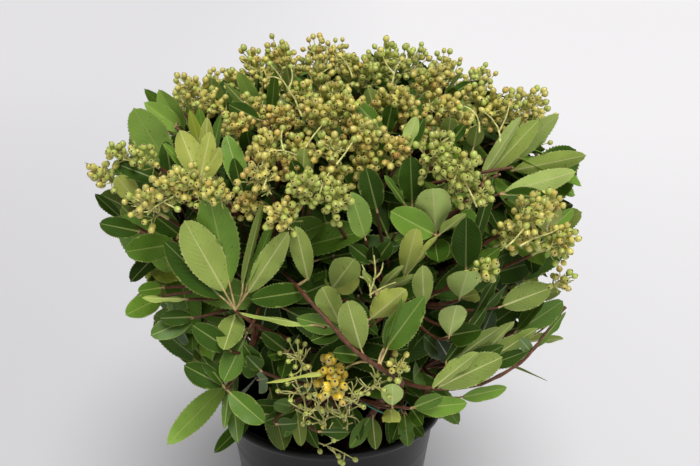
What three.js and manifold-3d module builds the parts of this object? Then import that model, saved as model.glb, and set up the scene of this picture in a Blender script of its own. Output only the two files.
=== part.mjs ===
// Cut toyon branches, in leaf and in unripe berry, tied in a loose bunch that stands in a black plastic bucket.
// Millimetres, +Z up. The origin is the middle of the bucket's flat underside, and -Y is the front.
import * as THREE from "three";
import { mergeVertices } from "three/addons/utils/BufferGeometryUtils.js";
import Module from "manifold-3d";

const wasm = await Module();
wasm.setup();

// Driving dimensions
const GAP = 0.3; // left between pieces that touch
const BUCKET = { height: 230, rim: 112.5, rimBand: 13, top: 104, foot: 72, wall: 2.2, floor: 3.5, chamfer: 2, sides: 32 };
const WATER_LEVEL = 96;
const TIE = { height: 262, thickness: 1.8, sides: 5, steps: 24 };

// The crown is a rounded body that hangs a little to one side: how far aside its middle lies, its greatest radius and
// the height where it has it, how far it reaches above and below that, and how square it is.
const CROWN = { aside: 10, middle: 468, radius: 238, above: 121, below: 252, power: 2.4 };

// Stems stand in two rings and one in the middle. Each ring is wider at the tie than on the bucket's floor,
// and turned a little between the two, as in a bunch that was gathered by hand.
const OUTER_STEMS = { count: 7, floor: 46, tie: 53, turn: -64, radius: 4.6 };
const INNER_STEMS = { count: 3, floor: 17, tie: 23, turn: -34, radius: 4.4 };
const MIDDLE_STEM_RADIUS = 4.2;
const BUNCH_TWIST = 24; // degrees from the floor to the tie
const LIMB_END_SHARE = 0.6; // a limb's tip radius over its foot radius
const STEM = { sides: 6, steps: 5 };
const BOUGH = { sides: 5, steps: 4, radius: 2.7 };

// Masses of foliage, in rings from the top down: how far out and how high the middle of each mass lies,
// how much wood there is between that middle and the limb's tip, and what share of its sprays bear fruit.
const RINGS = {
  top: { count: 1, out: 0, height: 522, turn: 0, depth: 26, shoot: 40, fruit: 1 },
  upper: { count: 6, out: 112, height: 508, turn: -64, depth: 36, shoot: 42, fruit: 0.62 },
  wide: { count: 7, out: 168, height: 434, turn: -64, depth: 38, shoot: 42, fruit: 0.34 },
  low: { count: 7, out: 144, height: 320, turn: -64 + 180 / 7, depth: 26, shoot: 36, fruit: 0.14 },
};

// Sprays end on a spiral lattice that lies a little inside the crown's surface. A crowding below 1 gives its lower
// part more of them.
const SPRAYS = { count: 78, depth: 56, topCosine: 0.985, bottomCosine: -0.86, crowding: 0.86 };
const TWIG = { root: 1.8, tip: 1.4, sides: 3 };
const SHOOT = { tip: 2, sides: 4 };
const LEAF = {
  lengths: [88, 76, 64, 54],
  turns: [0, 35, -35, 70, -70],
  aspect: 0.48,
  swell: 0.06, // how far the widest part lies beyond the middle, as a share of the length
  thickness: 2,
};
const LEAVES_ON_LEAF_SPRAY = 7;
const LEAVES_ON_FRUIT_SPRAY = 5;
const BERRY = { radius: 5.6, perHead: 3, step: 9, aside: 4.4 };
const GOLDEN_ANGLE = Math.PI * (3 - Math.sqrt(5));
const SEED = 11;

const UP = new THREE.Vector3(0, 0, 1);
const CROWN_MIDDLE = new THREE.Vector3(CROWN.aside, 0, CROWN.middle);
const vector = (x, y, z) => new THREE.Vector3(x, y, z);
const radians = THREE.MathUtils.degToRad;
const mix = THREE.MathUtils.lerp;

// A point given by its distance from the Z axis, its direction in degrees and its height.
const around = (out, degrees, height) =>
  vector(out * Math.cos(radians(degrees)), out * Math.sin(radians(degrees)), height);

// Repeatable numbers from 0 to 1.
function seededNumbers(seed) {
  let state = seed;
  return () => {
    state = (state * 1664525 + 1013904223) % 4294967296;
    return state / 4294967296;
  };
}

// Two directions square to an axis and to each other.
function sidesOf(axis) {
  const flat = Math.abs(axis.z) > 0.98 ? vector(1, 0, 0) : UP;
  const first = vector().crossVectors(flat, axis).normalize();
  return [first, vector().crossVectors(axis, first)];
}

// The direction that leans from an axis by an angle, at a turn about that axis.
function leaning(axis, lean, turn) {
  const [first, second] = sidesOf(axis);
  return axis
    .clone()
    .multiplyScalar(Math.cos(lean))
    .addScaledVector(first, Math.sin(lean) * Math.cos(turn))
    .addScaledVector(second, Math.sin(lean) * Math.sin(turn))
    .normalize();
}

function solidOf(geometry) {
  const bare = new THREE.BufferGeometry().setAttribute("position", geometry.attributes.position);
  bare.setIndex(geometry.index);
  const merged = mergeVertices(bare, 1e-4);
  const corners = merged.index.array;
  const faces = [];
  for (let i = 0; i < corners.length; i += 3) {
    const [a, b, c] = corners.slice(i, i + 3);
    if (a !== b && b !== c && c !== a) faces.push(a, b, c);
  }
  const vertProperties = merged.attributes.position.array;
  return new wasm.Manifold(new wasm.Mesh({ numProp: 3, vertProperties, triVerts: new Uint32Array(faces) }));
}

function geometryOf(solid) {
  const made = solid.getMesh();
  const points = new THREE.BufferAttribute(new Float32Array(made.vertProperties), 3);
  const geometry = new THREE.BufferGeometry().setAttribute("position", points);
  return geometry.setIndex(new THREE.BufferAttribute(new Uint32Array(made.triVerts), 1));
}

// The largest of the separate bodies that a cut or a join leaves.
function largestBody(solid) {
  return solid.decompose().reduce((a, b) => (a.volume() > b.volume() ? a : b));
}

// Even steps from 0 to 1.
const evenSteps = (count) => Array.from({ length: count + 1 }, (_, i) => i / count);

// A closed bar along a curve, with a ring of corners at each given share of its length, tapering evenly from one
// radius to another. A flat foot is cut level.
function taperedBar(curve, startRadius, endRadius, sides, shares, flatFoot = false) {
  const bar = new THREE.CylinderGeometry(1, 1, 1, sides, shares.length - 1);
  const place = bar.attributes.position;
  const frames = [];
  let [first] = sidesOf(curve.getTangentAt(0));
  for (const share of shares) {
    const tangent = curve.getTangentAt(share);
    first = first.clone().addScaledVector(tangent, -first.dot(tangent)).normalize();
    frames.push({ middle: curve.getPointAt(share), first, second: vector().crossVectors(first, tangent) });
  }
  for (let i = 0; i < place.count; i++) {
    const ring = Math.round((place.getY(i) + 0.5) * (shares.length - 1));
    const radius = mix(startRadius, endRadius, shares[ring]);
    const { middle, first: across, second } = frames[ring];
    const point = middle
      .clone()
      .addScaledVector(across, radius * place.getX(i))
      .addScaledVector(second, radius * place.getZ(i));
    if (flatFoot && ring === 0) point.z = middle.z;
    place.setXYZ(i, point.x, point.y, point.z);
  }
  return bar;
}

// Bucket
function wallRadius(height) {
  return mix(BUCKET.foot, BUCKET.top, height / (BUCKET.height - BUCKET.rimBand));
}

function turned(profile, sides) {
  const points = profile.map(([out, height]) => new THREE.Vector2(out, height));
  return new THREE.LatheGeometry(points, sides).rotateX(Math.PI / 2);
}

function bucketShape() {
  const { height, rim, rimBand, top, foot, wall, floor, chamfer, sides } = BUCKET;
  const inner = (level) => wallRadius(level) - wall;
  const profile = [
    [0, 0],
    [foot - chamfer, 0],
    [foot, chamfer],
    [top, height - rimBand],
    [rim - 1, height - rimBand / 2],
    [rim, height - rimBand / 4],
    [rim - 1, height - 0.6],
    [rim - 3, height],
    [rim - 5.5, height - 1.6],
    [top + 0.6, height - rimBand / 2],
    [inner(height - rimBand), height - rimBand],
    [inner(floor), floor],
    [0, floor],
  ];
  return turned(profile, sides);
}

function waterShape() {
  const bottom = BUCKET.floor + GAP;
  const inner = (level) => wallRadius(level) - BUCKET.wall - GAP;
  const profile = [
    [0, bottom],
    [inner(bottom), bottom],
    [inner(WATER_LEVEL), WATER_LEVEL],
    [0, WATER_LEVEL],
  ];
  return turned(profile, BUCKET.sides);
}

// Limbs
// A limb has a curve, a foot radius and a tip radius, and its tip is where its mass of foliage begins.
function limb(curve, radius, { sides, steps }, straightShare) {
  const shares = evenSteps(steps).map((step) => mix(straightShare, 1, step));
  if (straightShare > 0) shares.unshift(0);
  return { curve, radius, tipRadius: radius * LIMB_END_SHARE, sides, shares, standing: straightShare > 0 };
}

function limbSolid({ curve, radius, tipRadius, sides, shares, standing }, grow = 0) {
  return solidOf(taperedBar(curve, radius + grow, tipRadius + grow, sides, shares, standing));
}

// A stem runs straight from the bucket's floor to the tie, and then bends out to its tip.
function stem(ring, degrees, tip, radius) {
  const foot = around(ring.floor, degrees - BUNCH_TWIST, BUCKET.floor + GAP);
  const tie = around(ring.tie, degrees, TIE.height);
  const rise = tie.clone().sub(foot).normalize();
  const bend = tie.clone().addScaledVector(rise, 0.45 * tip.distanceTo(tie));
  const line = new THREE.CurvePath();
  line.add(new THREE.LineCurve3(foot, tie));
  line.add(new THREE.QuadraticBezierCurve3(tie, bend, tip));
  const [straight, whole] = line.getCurveLengths();
  return { ...limb(line, radius, STEM, straight / whole), upper: line.curves[1] };
}

// A bough leaves a stem at a share of its bent stretch, and curves to its own tip.
function bough(parent, share, tip) {
  const root = parent.upper.getPoint(share);
  const start = parent.upper.getTangent(share).lerp(tip.clone().sub(root).normalize(), 0.6).normalize();
  const bend = root.clone().addScaledVector(start, 0.5 * tip.distanceTo(root));
  return { ...limb(new THREE.QuadraticBezierCurve3(root, bend, tip), BOUGH.radius, BOUGH, 0), parent };
}

// Where a ring's masses have their middles, and where the limbs that carry them end.
function massMiddles({ count, out, height, turn }) {
  return Array.from({ length: count }, (_, i) => around(out, turn + (360 * i) / count, height));
}

function limbTip(middle, from, { depth, shoot }) {
  return middle.clone().addScaledVector(middle.clone().sub(from).normalize(), -depth - shoot);
}

function growLimbs() {
  const stems = [];
  const boughs = [];
  const masses = [];
  const outerMiddles = massMiddles(RINGS.wide);
  const lowMiddles = massMiddles(RINGS.low);
  const upperMiddles = massMiddles(RINGS.upper);
  for (let i = 0; i < OUTER_STEMS.count; i++) {
    const degrees = OUTER_STEMS.turn + (360 * i) / OUTER_STEMS.count;
    const lean = around(OUTER_STEMS.tie, degrees, TIE.height + 30);
    const carrier = stem(OUTER_STEMS, degrees, limbTip(outerMiddles[i], lean, RINGS.wide), OUTER_STEMS.radius);
    stems.push(carrier);
    masses.push({ name: `foliage_wide_${i + 1}`, ring: RINGS.wide, middle: outerMiddles[i], carrier });
    const side = bough(carrier, 0.28, limbTip(lowMiddles[i], carrier.upper.getPoint(0.28), RINGS.low));
    boughs.push(side);
    masses.push({ name: `foliage_low_${i + 1}`, ring: RINGS.low, middle: lowMiddles[i], carrier: side });
  }
  for (let i = 0; i < INNER_STEMS.count; i++) {
    const degrees = INNER_STEMS.turn + (360 * i) / INNER_STEMS.count;
    const lean = around(INNER_STEMS.tie, degrees, TIE.height + 70);
    const [first, second] = [upperMiddles[2 * i], upperMiddles[2 * i + 1]];
    const carrier = stem(INNER_STEMS, degrees, limbTip(first, lean, RINGS.upper), INNER_STEMS.radius);
    stems.push(carrier);
    masses.push({ name: `foliage_upper_${2 * i + 1}`, ring: RINGS.upper, middle: first, carrier });
    const side = bough(carrier, 0.4, limbTip(second, carrier.upper.getPoint(0.4), RINGS.upper));
    boughs.push(side);
    masses.push({ name: `foliage_upper_${2 * i + 2}`, ring: RINGS.upper, middle: second, carrier: side });
  }
  const [topMiddle] = massMiddles(RINGS.top);
  const middleStem = stem({ floor: 0, tie: 0 }, 0, limbTip(topMiddle, vector(0, 0, 0), RINGS.top), MIDDLE_STEM_RADIUS);
  stems.push(middleStem);
  masses.push({ name: "foliage_top", ring: RINGS.top, middle: topMiddle, carrier: middleStem });
  return { stems, boughs, masses };
}

// The tie lies round the outer stems, close to them also where its ring of corners is nearest to the middle.
function tieShape({ radius, tipRadius, shares }) {
  const { thickness, sides, steps, height } = TIE;
  const stemRadius = mix(radius, tipRadius, shares[1]);
  const ring = (OUTER_STEMS.tie + stemRadius + GAP) / Math.cos(Math.PI / steps) + thickness / 2;
  return new THREE.TorusGeometry(ring, thickness / 2, sides, steps).translate(0, 0, height);
}

// Foliage
function insideCrown(point) {
  const flat = Math.hypot(point.x - CROWN.aside, point.y) / CROWN.radius;
  const tall = Math.abs(point.z - CROWN.middle) / (point.z > CROWN.middle ? CROWN.above : CROWN.below);
  return flat ** CROWN.power + tall ** CROWN.power <= 1;
}

// A mass keeps to the points that are nearer to its own middle than to any other.
function inOwnSpace(point, mass, masses) {
  const own = point.distanceToSquared(mass.middle);
  return masses.every((other) => {
    if (other === mass) return true;
    const apart = mass.middle.distanceTo(other.middle);
    return (point.distanceToSquared(other.middle) - own) / (2 * apart) > GAP;
  });
}

// Where each spray ends.
function sprayEnds() {
  const { count, depth, topCosine, bottomCosine, crowding } = SPRAYS;
  return Array.from({ length: count }, (_, i) => {
    const cosine = mix(topCosine, bottomCosine, ((i + 0.5) / count) ** crowding);
    const sine = Math.sqrt(1 - cosine * cosine);
    const turn = i * GOLDEN_ANGLE;
    const reach = (sine ** CROWN.power + Math.abs(cosine) ** CROWN.power) ** (-1 / CROWN.power);
    const surface = vector(
      CROWN.radius * sine * Math.cos(turn),
      CROWN.radius * sine * Math.sin(turn),
      (cosine > 0 ? CROWN.above : CROWN.below) * cosine,
    ).multiplyScalar(reach);
    return surface.setLength(surface.length() - depth).add(CROWN_MIDDLE);
  });
}

// A leaf blade, flat below and ridged above, widest in the middle. Its root is at the origin, its length is +X
// and its upper side is +Y.
function leafShape(length) {
  const blade = new THREE.ConeGeometry(1, 1, 6).rotateY(Math.PI / 2);
  const place = blade.attributes.position;
  const halfWidth = (length * LEAF.aspect) / 2;
  for (let i = 0; i < place.count; i++) {
    const along = (place.getX(i) + 1) / 2;
    const outline = along + LEAF.swell * Math.sin(Math.PI * along);
    place.setXYZ(i, outline * length, (place.getY(i) + 0.5) * LEAF.thickness, place.getZ(i) * halfWidth);
  }
  return blade;
}

// The first leaf that fits, of those that turn about the twig by a little more each time, from the longest down.
function leafAt(root, axis, lean, turn, fits) {
  for (const length of LEAF.lengths) {
    for (const extra of LEAF.turns) {
      const heading = leaning(axis, lean, turn + radians(extra));
      const aside = vector().crossVectors(heading, axis).normalize();
      const face = vector().crossVectors(aside, heading);
      const basis = new THREE.Matrix4().makeBasis(heading, face, aside).setPosition(root);
      const leaf = leafShape(length).applyMatrix4(basis);
      if (fits(leaf)) return leaf;
    }
  }
  return null;
}

// A head of berries on the end of a twig: one on its tip, and the others in a spiral below it.
function berryHead(curve, turn, fits) {
  const length = curve.getLength();
  const berries = [];
  for (let i = 0; i < BERRY.perHead; i++) {
    const along = 1 - (i * BERRY.step) / length;
    const aside = leaning(curve.getTangent(along), Math.PI / 2, turn + (i * 2 * Math.PI) / 3);
    const middle = curve.getPoint(along).addScaledVector(aside, i === 0 ? 0 : BERRY.aside);
    const berry = new THREE.IcosahedronGeometry(BERRY.radius, 0).translate(...middle);
    if (fits(berry)) berries.push(berry);
  }
  return berries;
}

function massShape(mass, masses, ends, keepOut, random) {
  const { carrier, ring } = mass;
  const forward = carrier.curve.getTangentAt(1);
  const root = carrier.curve.getPointAt(1).addScaledVector(forward, GAP);
  const shoot = new THREE.LineCurve3(root, root.clone().addScaledVector(forward, ring.shoot));
  const wood = [solidOf(taperedBar(shoot, carrier.tipRadius, SHOOT.tip, SHOOT.sides, [0, 1]))];
  const borne = [];

  const inSpace = (geometry) => {
    const place = geometry.attributes.position;
    for (let i = 0; i < place.count; i++) {
      const point = vector().fromBufferAttribute(place, i);
      if (!insideCrown(point) || !inOwnSpace(point, mass, masses)) return false;
    }
    return true;
  };
  const clearOf = (solid, others) => others.every((other) => solid.intersect(other).isEmpty());

  // The twigs that turn furthest from the shoot leave it first.
  const turning = (end) => end.clone().sub(root).normalize().dot(forward);
  const ordered = [...ends].sort((a, b) => turning(a) - turning(b));
  const twigs = [];
  ordered.forEach((end, i) => {
    const curve = new THREE.LineCurve3(shoot.getPoint(mix(0.2, 0.98, (i + 0.5) / ordered.length)), end);
    const shape = taperedBar(curve, TWIG.root, TWIG.tip, TWIG.sides, [0, 1]);
    const bearsFruit = random() < ring.fruit;
    const turn = random() * 2 * Math.PI;
    if (!inSpace(shape)) return;
    const solid = solidOf(shape);
    if (!clearOf(solid, [keepOut])) return;
    wood.push(solid);
    twigs.push({ curve, solid, bearsFruit, turn });
  });

  for (const { curve, solid: own, bearsFruit, turn } of twigs) {
    const others = wood.filter((each) => each !== own);
    const free = (geometry) => {
      if (!inSpace(geometry)) return false;
      const solid = solidOf(geometry);
      return clearOf(solid, [keepOut, ...others, ...borne]);
    };
    const fruit = bearsFruit ? berryHead(curve, turn, free).map(solidOf) : [];
    borne.push(...fruit);
    const leaves = bearsFruit ? LEAVES_ON_FRUIT_SPRAY : LEAVES_ON_LEAF_SPRAY;
    for (let i = 0; i < leaves; i++) {
      const along = mix(0.45, bearsFruit ? 0.75 : 0.98, (i + 0.5) / leaves);
      const lean = radians(bearsFruit ? mix(74, 58, i / leaves) : mix(72, 46, i / leaves));
      const leaf = leafAt(curve.getPoint(along), curve.getTangent(along), lean, turn + i * GOLDEN_ANGLE, free);
      if (leaf) borne.push(solidOf(leaf));
    }
  }
  return largestBody(wasm.Manifold.union([...wood, ...borne]).simplify(0.03));
}

// Materials
const MATERIALS = {
  bucket: new THREE.MeshStandardMaterial({ color: 0x242527, roughness: 0.42, metalness: 0 }),
  water: new THREE.MeshStandardMaterial({ color: 0x3a4238, roughness: 0.05, metalness: 0 }),
  tie: new THREE.MeshStandardMaterial({ color: 0x3f8f70, roughness: 0.5, metalness: 0 }),
  bark: new THREE.MeshStandardMaterial({ color: 0x6a4234, roughness: 0.85, metalness: 0 }),
  foliage: new THREE.MeshStandardMaterial({ color: 0x5f7f33, roughness: 0.6, metalness: 0 }),
};

// Assembly
const group = new THREE.Group();

function addPiece(name, geometry, material) {
  const mesh = new THREE.Mesh(geometry, material);
  mesh.name = name;
  group.add(mesh);
}

const { stems, boughs, masses } = growLimbs();
const grownStems = stems.map((each) => limbSolid(each, GAP));
const grownBoughs = boughs.map((each) => limbSolid(each, GAP));
const bucket = bucketShape();
const tie = tieShape(stems[0]);
const keepOut = wasm.Manifold.union([...grownStems, ...grownBoughs, solidOf(bucket), solidOf(tie)]);

addPiece("bucket", bucket, MATERIALS.bucket);
addPiece("water", geometryOf(solidOf(waterShape()).subtract(wasm.Manifold.union(grownStems))), MATERIALS.water);
addPiece("tie_band", tie, MATERIALS.tie);
stems.forEach((each, i) => addPiece(`stem_${i + 1}`, geometryOf(limbSolid(each).simplify(0.01)), MATERIALS.bark));
boughs.forEach((each, i) => {
  const parted = limbSolid(each).subtract(grownStems[stems.indexOf(each.parent)]);
  addPiece(`bough_${i + 1}`, geometryOf(largestBody(parted.simplify(0.01))), MATERIALS.bark);
});

const random = seededNumbers(SEED);
const ends = sprayEnds();
const nearest = (point) =>
  masses.reduce((a, b) => (point.distanceTo(a.middle) < point.distanceTo(b.middle) ? a : b));
for (const mass of masses) {
  const own = ends.filter((end) => nearest(end) === mass);
  addPiece(mass.name, geometryOf(massShape(mass, masses, own, keepOut, random)), MATERIALS.foliage);
}

export default group;
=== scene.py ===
import math
import random

import bmesh
import bpy
import numpy as np
from mathutils import Matrix


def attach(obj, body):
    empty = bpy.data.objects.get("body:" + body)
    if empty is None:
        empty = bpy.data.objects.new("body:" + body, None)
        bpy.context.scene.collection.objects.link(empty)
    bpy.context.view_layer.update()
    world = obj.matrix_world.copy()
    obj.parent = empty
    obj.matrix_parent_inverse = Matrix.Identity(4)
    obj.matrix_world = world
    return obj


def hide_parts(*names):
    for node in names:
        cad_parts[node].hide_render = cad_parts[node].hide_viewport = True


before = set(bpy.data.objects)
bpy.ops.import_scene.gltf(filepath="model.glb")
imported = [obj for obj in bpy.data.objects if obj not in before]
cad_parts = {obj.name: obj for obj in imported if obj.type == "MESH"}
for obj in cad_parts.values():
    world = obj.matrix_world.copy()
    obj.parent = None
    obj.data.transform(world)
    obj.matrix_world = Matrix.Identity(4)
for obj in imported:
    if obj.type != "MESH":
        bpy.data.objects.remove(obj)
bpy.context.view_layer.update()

# Sizes in millimetres, as on the drawing. They are turned into metres where points are made.
MM = 0.001
GAP = 0.3
BUCKET = {"height": 230, "rim": 112.5, "rim_band": 13, "top": 104, "foot": 72, "wall": 2.2, "floor": 3.5}
TURNED_STEPS = 128
WATER_LEVEL = 96
# The tie lies round the stems at a share of the way up their taper.
TIE = {"height": 262, "thickness": 1.8, "turns": 96, "along": 0.6}
CROWN = {"aside": 10, "middle": 468, "radius": 238, "above": 121, "below": 252, "power": 2.4}
# How far the crown's sides are drawn in over a height below its middle, and how its top slopes down to them
CROWN_SIDES = {"left": 0.18, "right": 0.14, "both": 0.03, "over": 130, "left_slope": 0.24, "right_slope": 0.2}
# Nothing seeded hangs in front of the rim: before this place and below this height.
RIM_CLEARANCE = {"before": -40, "below": 248}
# A stem leans out from a height above the tie. Its bough leaves it at a share of the way from tie to tip.
OUTER_STEMS = {"count": 7, "floor": 46, "tie": 53, "turn": -64, "radius": 4.6, "lean": 30, "fork": 0.28}
INNER_STEMS = {"count": 3, "floor": 17, "tie": 23, "turn": -34, "radius": 4.4, "lean": 70, "fork": 0.4}
MIDDLE_STEM = {"floor": 0, "tie": 0, "radius": 4.2}
BUNCH_TWIST = 24  # degrees from the floor to the tie
LIMB_END_SHARE = 0.6  # a limb's tip radius over its foot radius
BOUGH_RADIUS = 2.7
LOW_TURN = -64 + 180 / 7  # halfway between two masses of the wide ring
# Rings of foliage masses. A limb stops short of its mass's middle and a shoot goes on from there.
# A share of the outer sprays bears fruit.
RINGS = {
    "top": {"count": 1, "out": 0, "height": 522, "turn": 0, "depth": 26, "shoot": 40, "fruit": 1},
    "upper": {"count": 6, "out": 112, "height": 508, "turn": -64, "depth": 36, "shoot": 42, "fruit": 0.75},
    "wide": {"count": 7, "out": 168, "height": 434, "turn": -64, "depth": 38, "shoot": 42, "fruit": 0.3},
    "low": {"count": 7, "out": 144, "height": 320, "turn": LOW_TURN, "depth": 26, "shoot": 36, "fruit": 0.08},
}
# Sprays end on two spiral lattices: one near the crown's surface and one behind it, whose leaves take darker
# tones as painted shade.
OUTER_SPRAYS = {"count": 235, "depth": 50, "leaves": 8, "top": 0.985, "bottom": -0.9, "crowding": 0.86}
INNER_SPRAYS = {"count": 105, "depth": 104, "leaves": 7, "top": 0.96, "bottom": -0.84, "crowding": 0.86}
# Each is shifted at random, by up to this along each axis.
SPRAY_SHIFT = 12
# Given sprays and heads point away from the bunch's axis and up, as if from this far below them.
OUTWARD_DROP = 60
# A given spray this near to bare wood stands on it.
BARE_WOOD_NEAR = 16
# Outer sprays keep apart from the ones whose places are given, and bear fruit only behind the crown's middle.
APART_FROM_GIVEN = 26
FRUIT_BEHIND = 55
# How far sprays point up at the foot, the lower part and the top of the crown
SPRAY_RISE = ((230, 330, 560), (-0.15, 0.55, 0.5))
# Shares of the tones of leaves, from deep to pale, above a height, below it, and inside the crown. These
# shares are painted light and shade: paler tones high on the crown, where the light falls, darker ones below
# it, and the darkest inside the crown, where shade falls.
SUNLIT_HEIGHT = 420
TONE_SHARES = {
    "sunlit": (10, 34, 32, 16, 6, 2),
    "lower": (24, 44, 24, 6, 2, 0),
    "inner": (80, 17, 3, 0, 0, 0),
}
# Seen from the front, seeded growth keeps this far behind what is given, or this far beside it.
GIVEN_DEPTH = 6
GIVEN_ASIDE = 14
# Gaps between leaves, and between their tips and the crown's surface
LEAF_GAP = 8
TIP_BELOW_SURFACE = 12
ROOM_CELL = 12
GOLDEN_ANGLE = math.pi * (3 - math.sqrt(5))
UP = np.array([0.0, 0.0, 1.0])
CROWN_MIDDLE = np.array([CROWN["aside"], 0.0, CROWN["middle"]])
TOWARDS_FRONT = np.array([0.0, -0.936, 0.352])

# Tones of leaves. The deep tone is partly painted shade and the pale tone is painted light.
TONES = ("deep", "dark", "mid", "fresh", "olive", "pale")
# How leaves differ: how slender they are at foot and tip, their fold, curl, twist and wavy margin
LEAF_RANGES = {
    "base": (0.7, 0.92),
    "point": (0.62, 0.84),
    "fold": (0.06, 0.5),
    "curl": (-0.15, 0.6),
    "twist": (-0.3, 0.3),
    "waves": (1.2, 2.6),
    "phase": (0, 1),
    "ripple": (0.2, 1.6),
}
# Heads of berries: how many forks, how far they reach, their radii at both ends, how far apart berries sit on
# them, how long the berries' stalks are, and the berries' radius where it is one size.
HEADS = {
    "given": {"forks": 8, "reach": 1, "radii": (1.05, 0.65), "apart": 2.7, "stalks": (4, 9), "berry": None},
    "seeded": {"forks": 7, "reach": 1, "radii": (1.05, 0.65), "apart": 3.2, "stalks": (4, 9), "berry": None},
    "shed": {"forks": 5, "reach": 1.5, "radii": (0.85, 0.5), "apart": 100, "stalks": (7, 13), "berry": 2.2},
}
# A head that is less full than this has shed its berries.
SHED_BELOW = 0.3
HEAD_STALK_RADII = (1.5, 1.0)
BARE_STALK_RADII = (0.85, 0.55)
BERRY_STALK_RADII = (0.6, 0.5)
# A berry's stalk that is longer than this is bent more finely.
LONG_STALK = 9
BERRY_RADII = (2.35, 3.05)
RIPE_BERRY_GROWTH = 1.2
RIM_BERRY_RADIUS = 2.5
# Shares of each colour of berry in a head
BERRY_TONES = {
    "fresh": (("green", 0.9), ("olive", 0.1)),
    "olive": (("olive", 0.57), ("green", 0.37), ("gold", 0.06)),
    "gold": (("gold", 0.3), ("olive", 0.5), ("green", 0.197), ("orange", 0.003)),
    "ripe": (("gold", 0.1), ("olive", 0.2), ("yellow", 0.7)),
}

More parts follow.
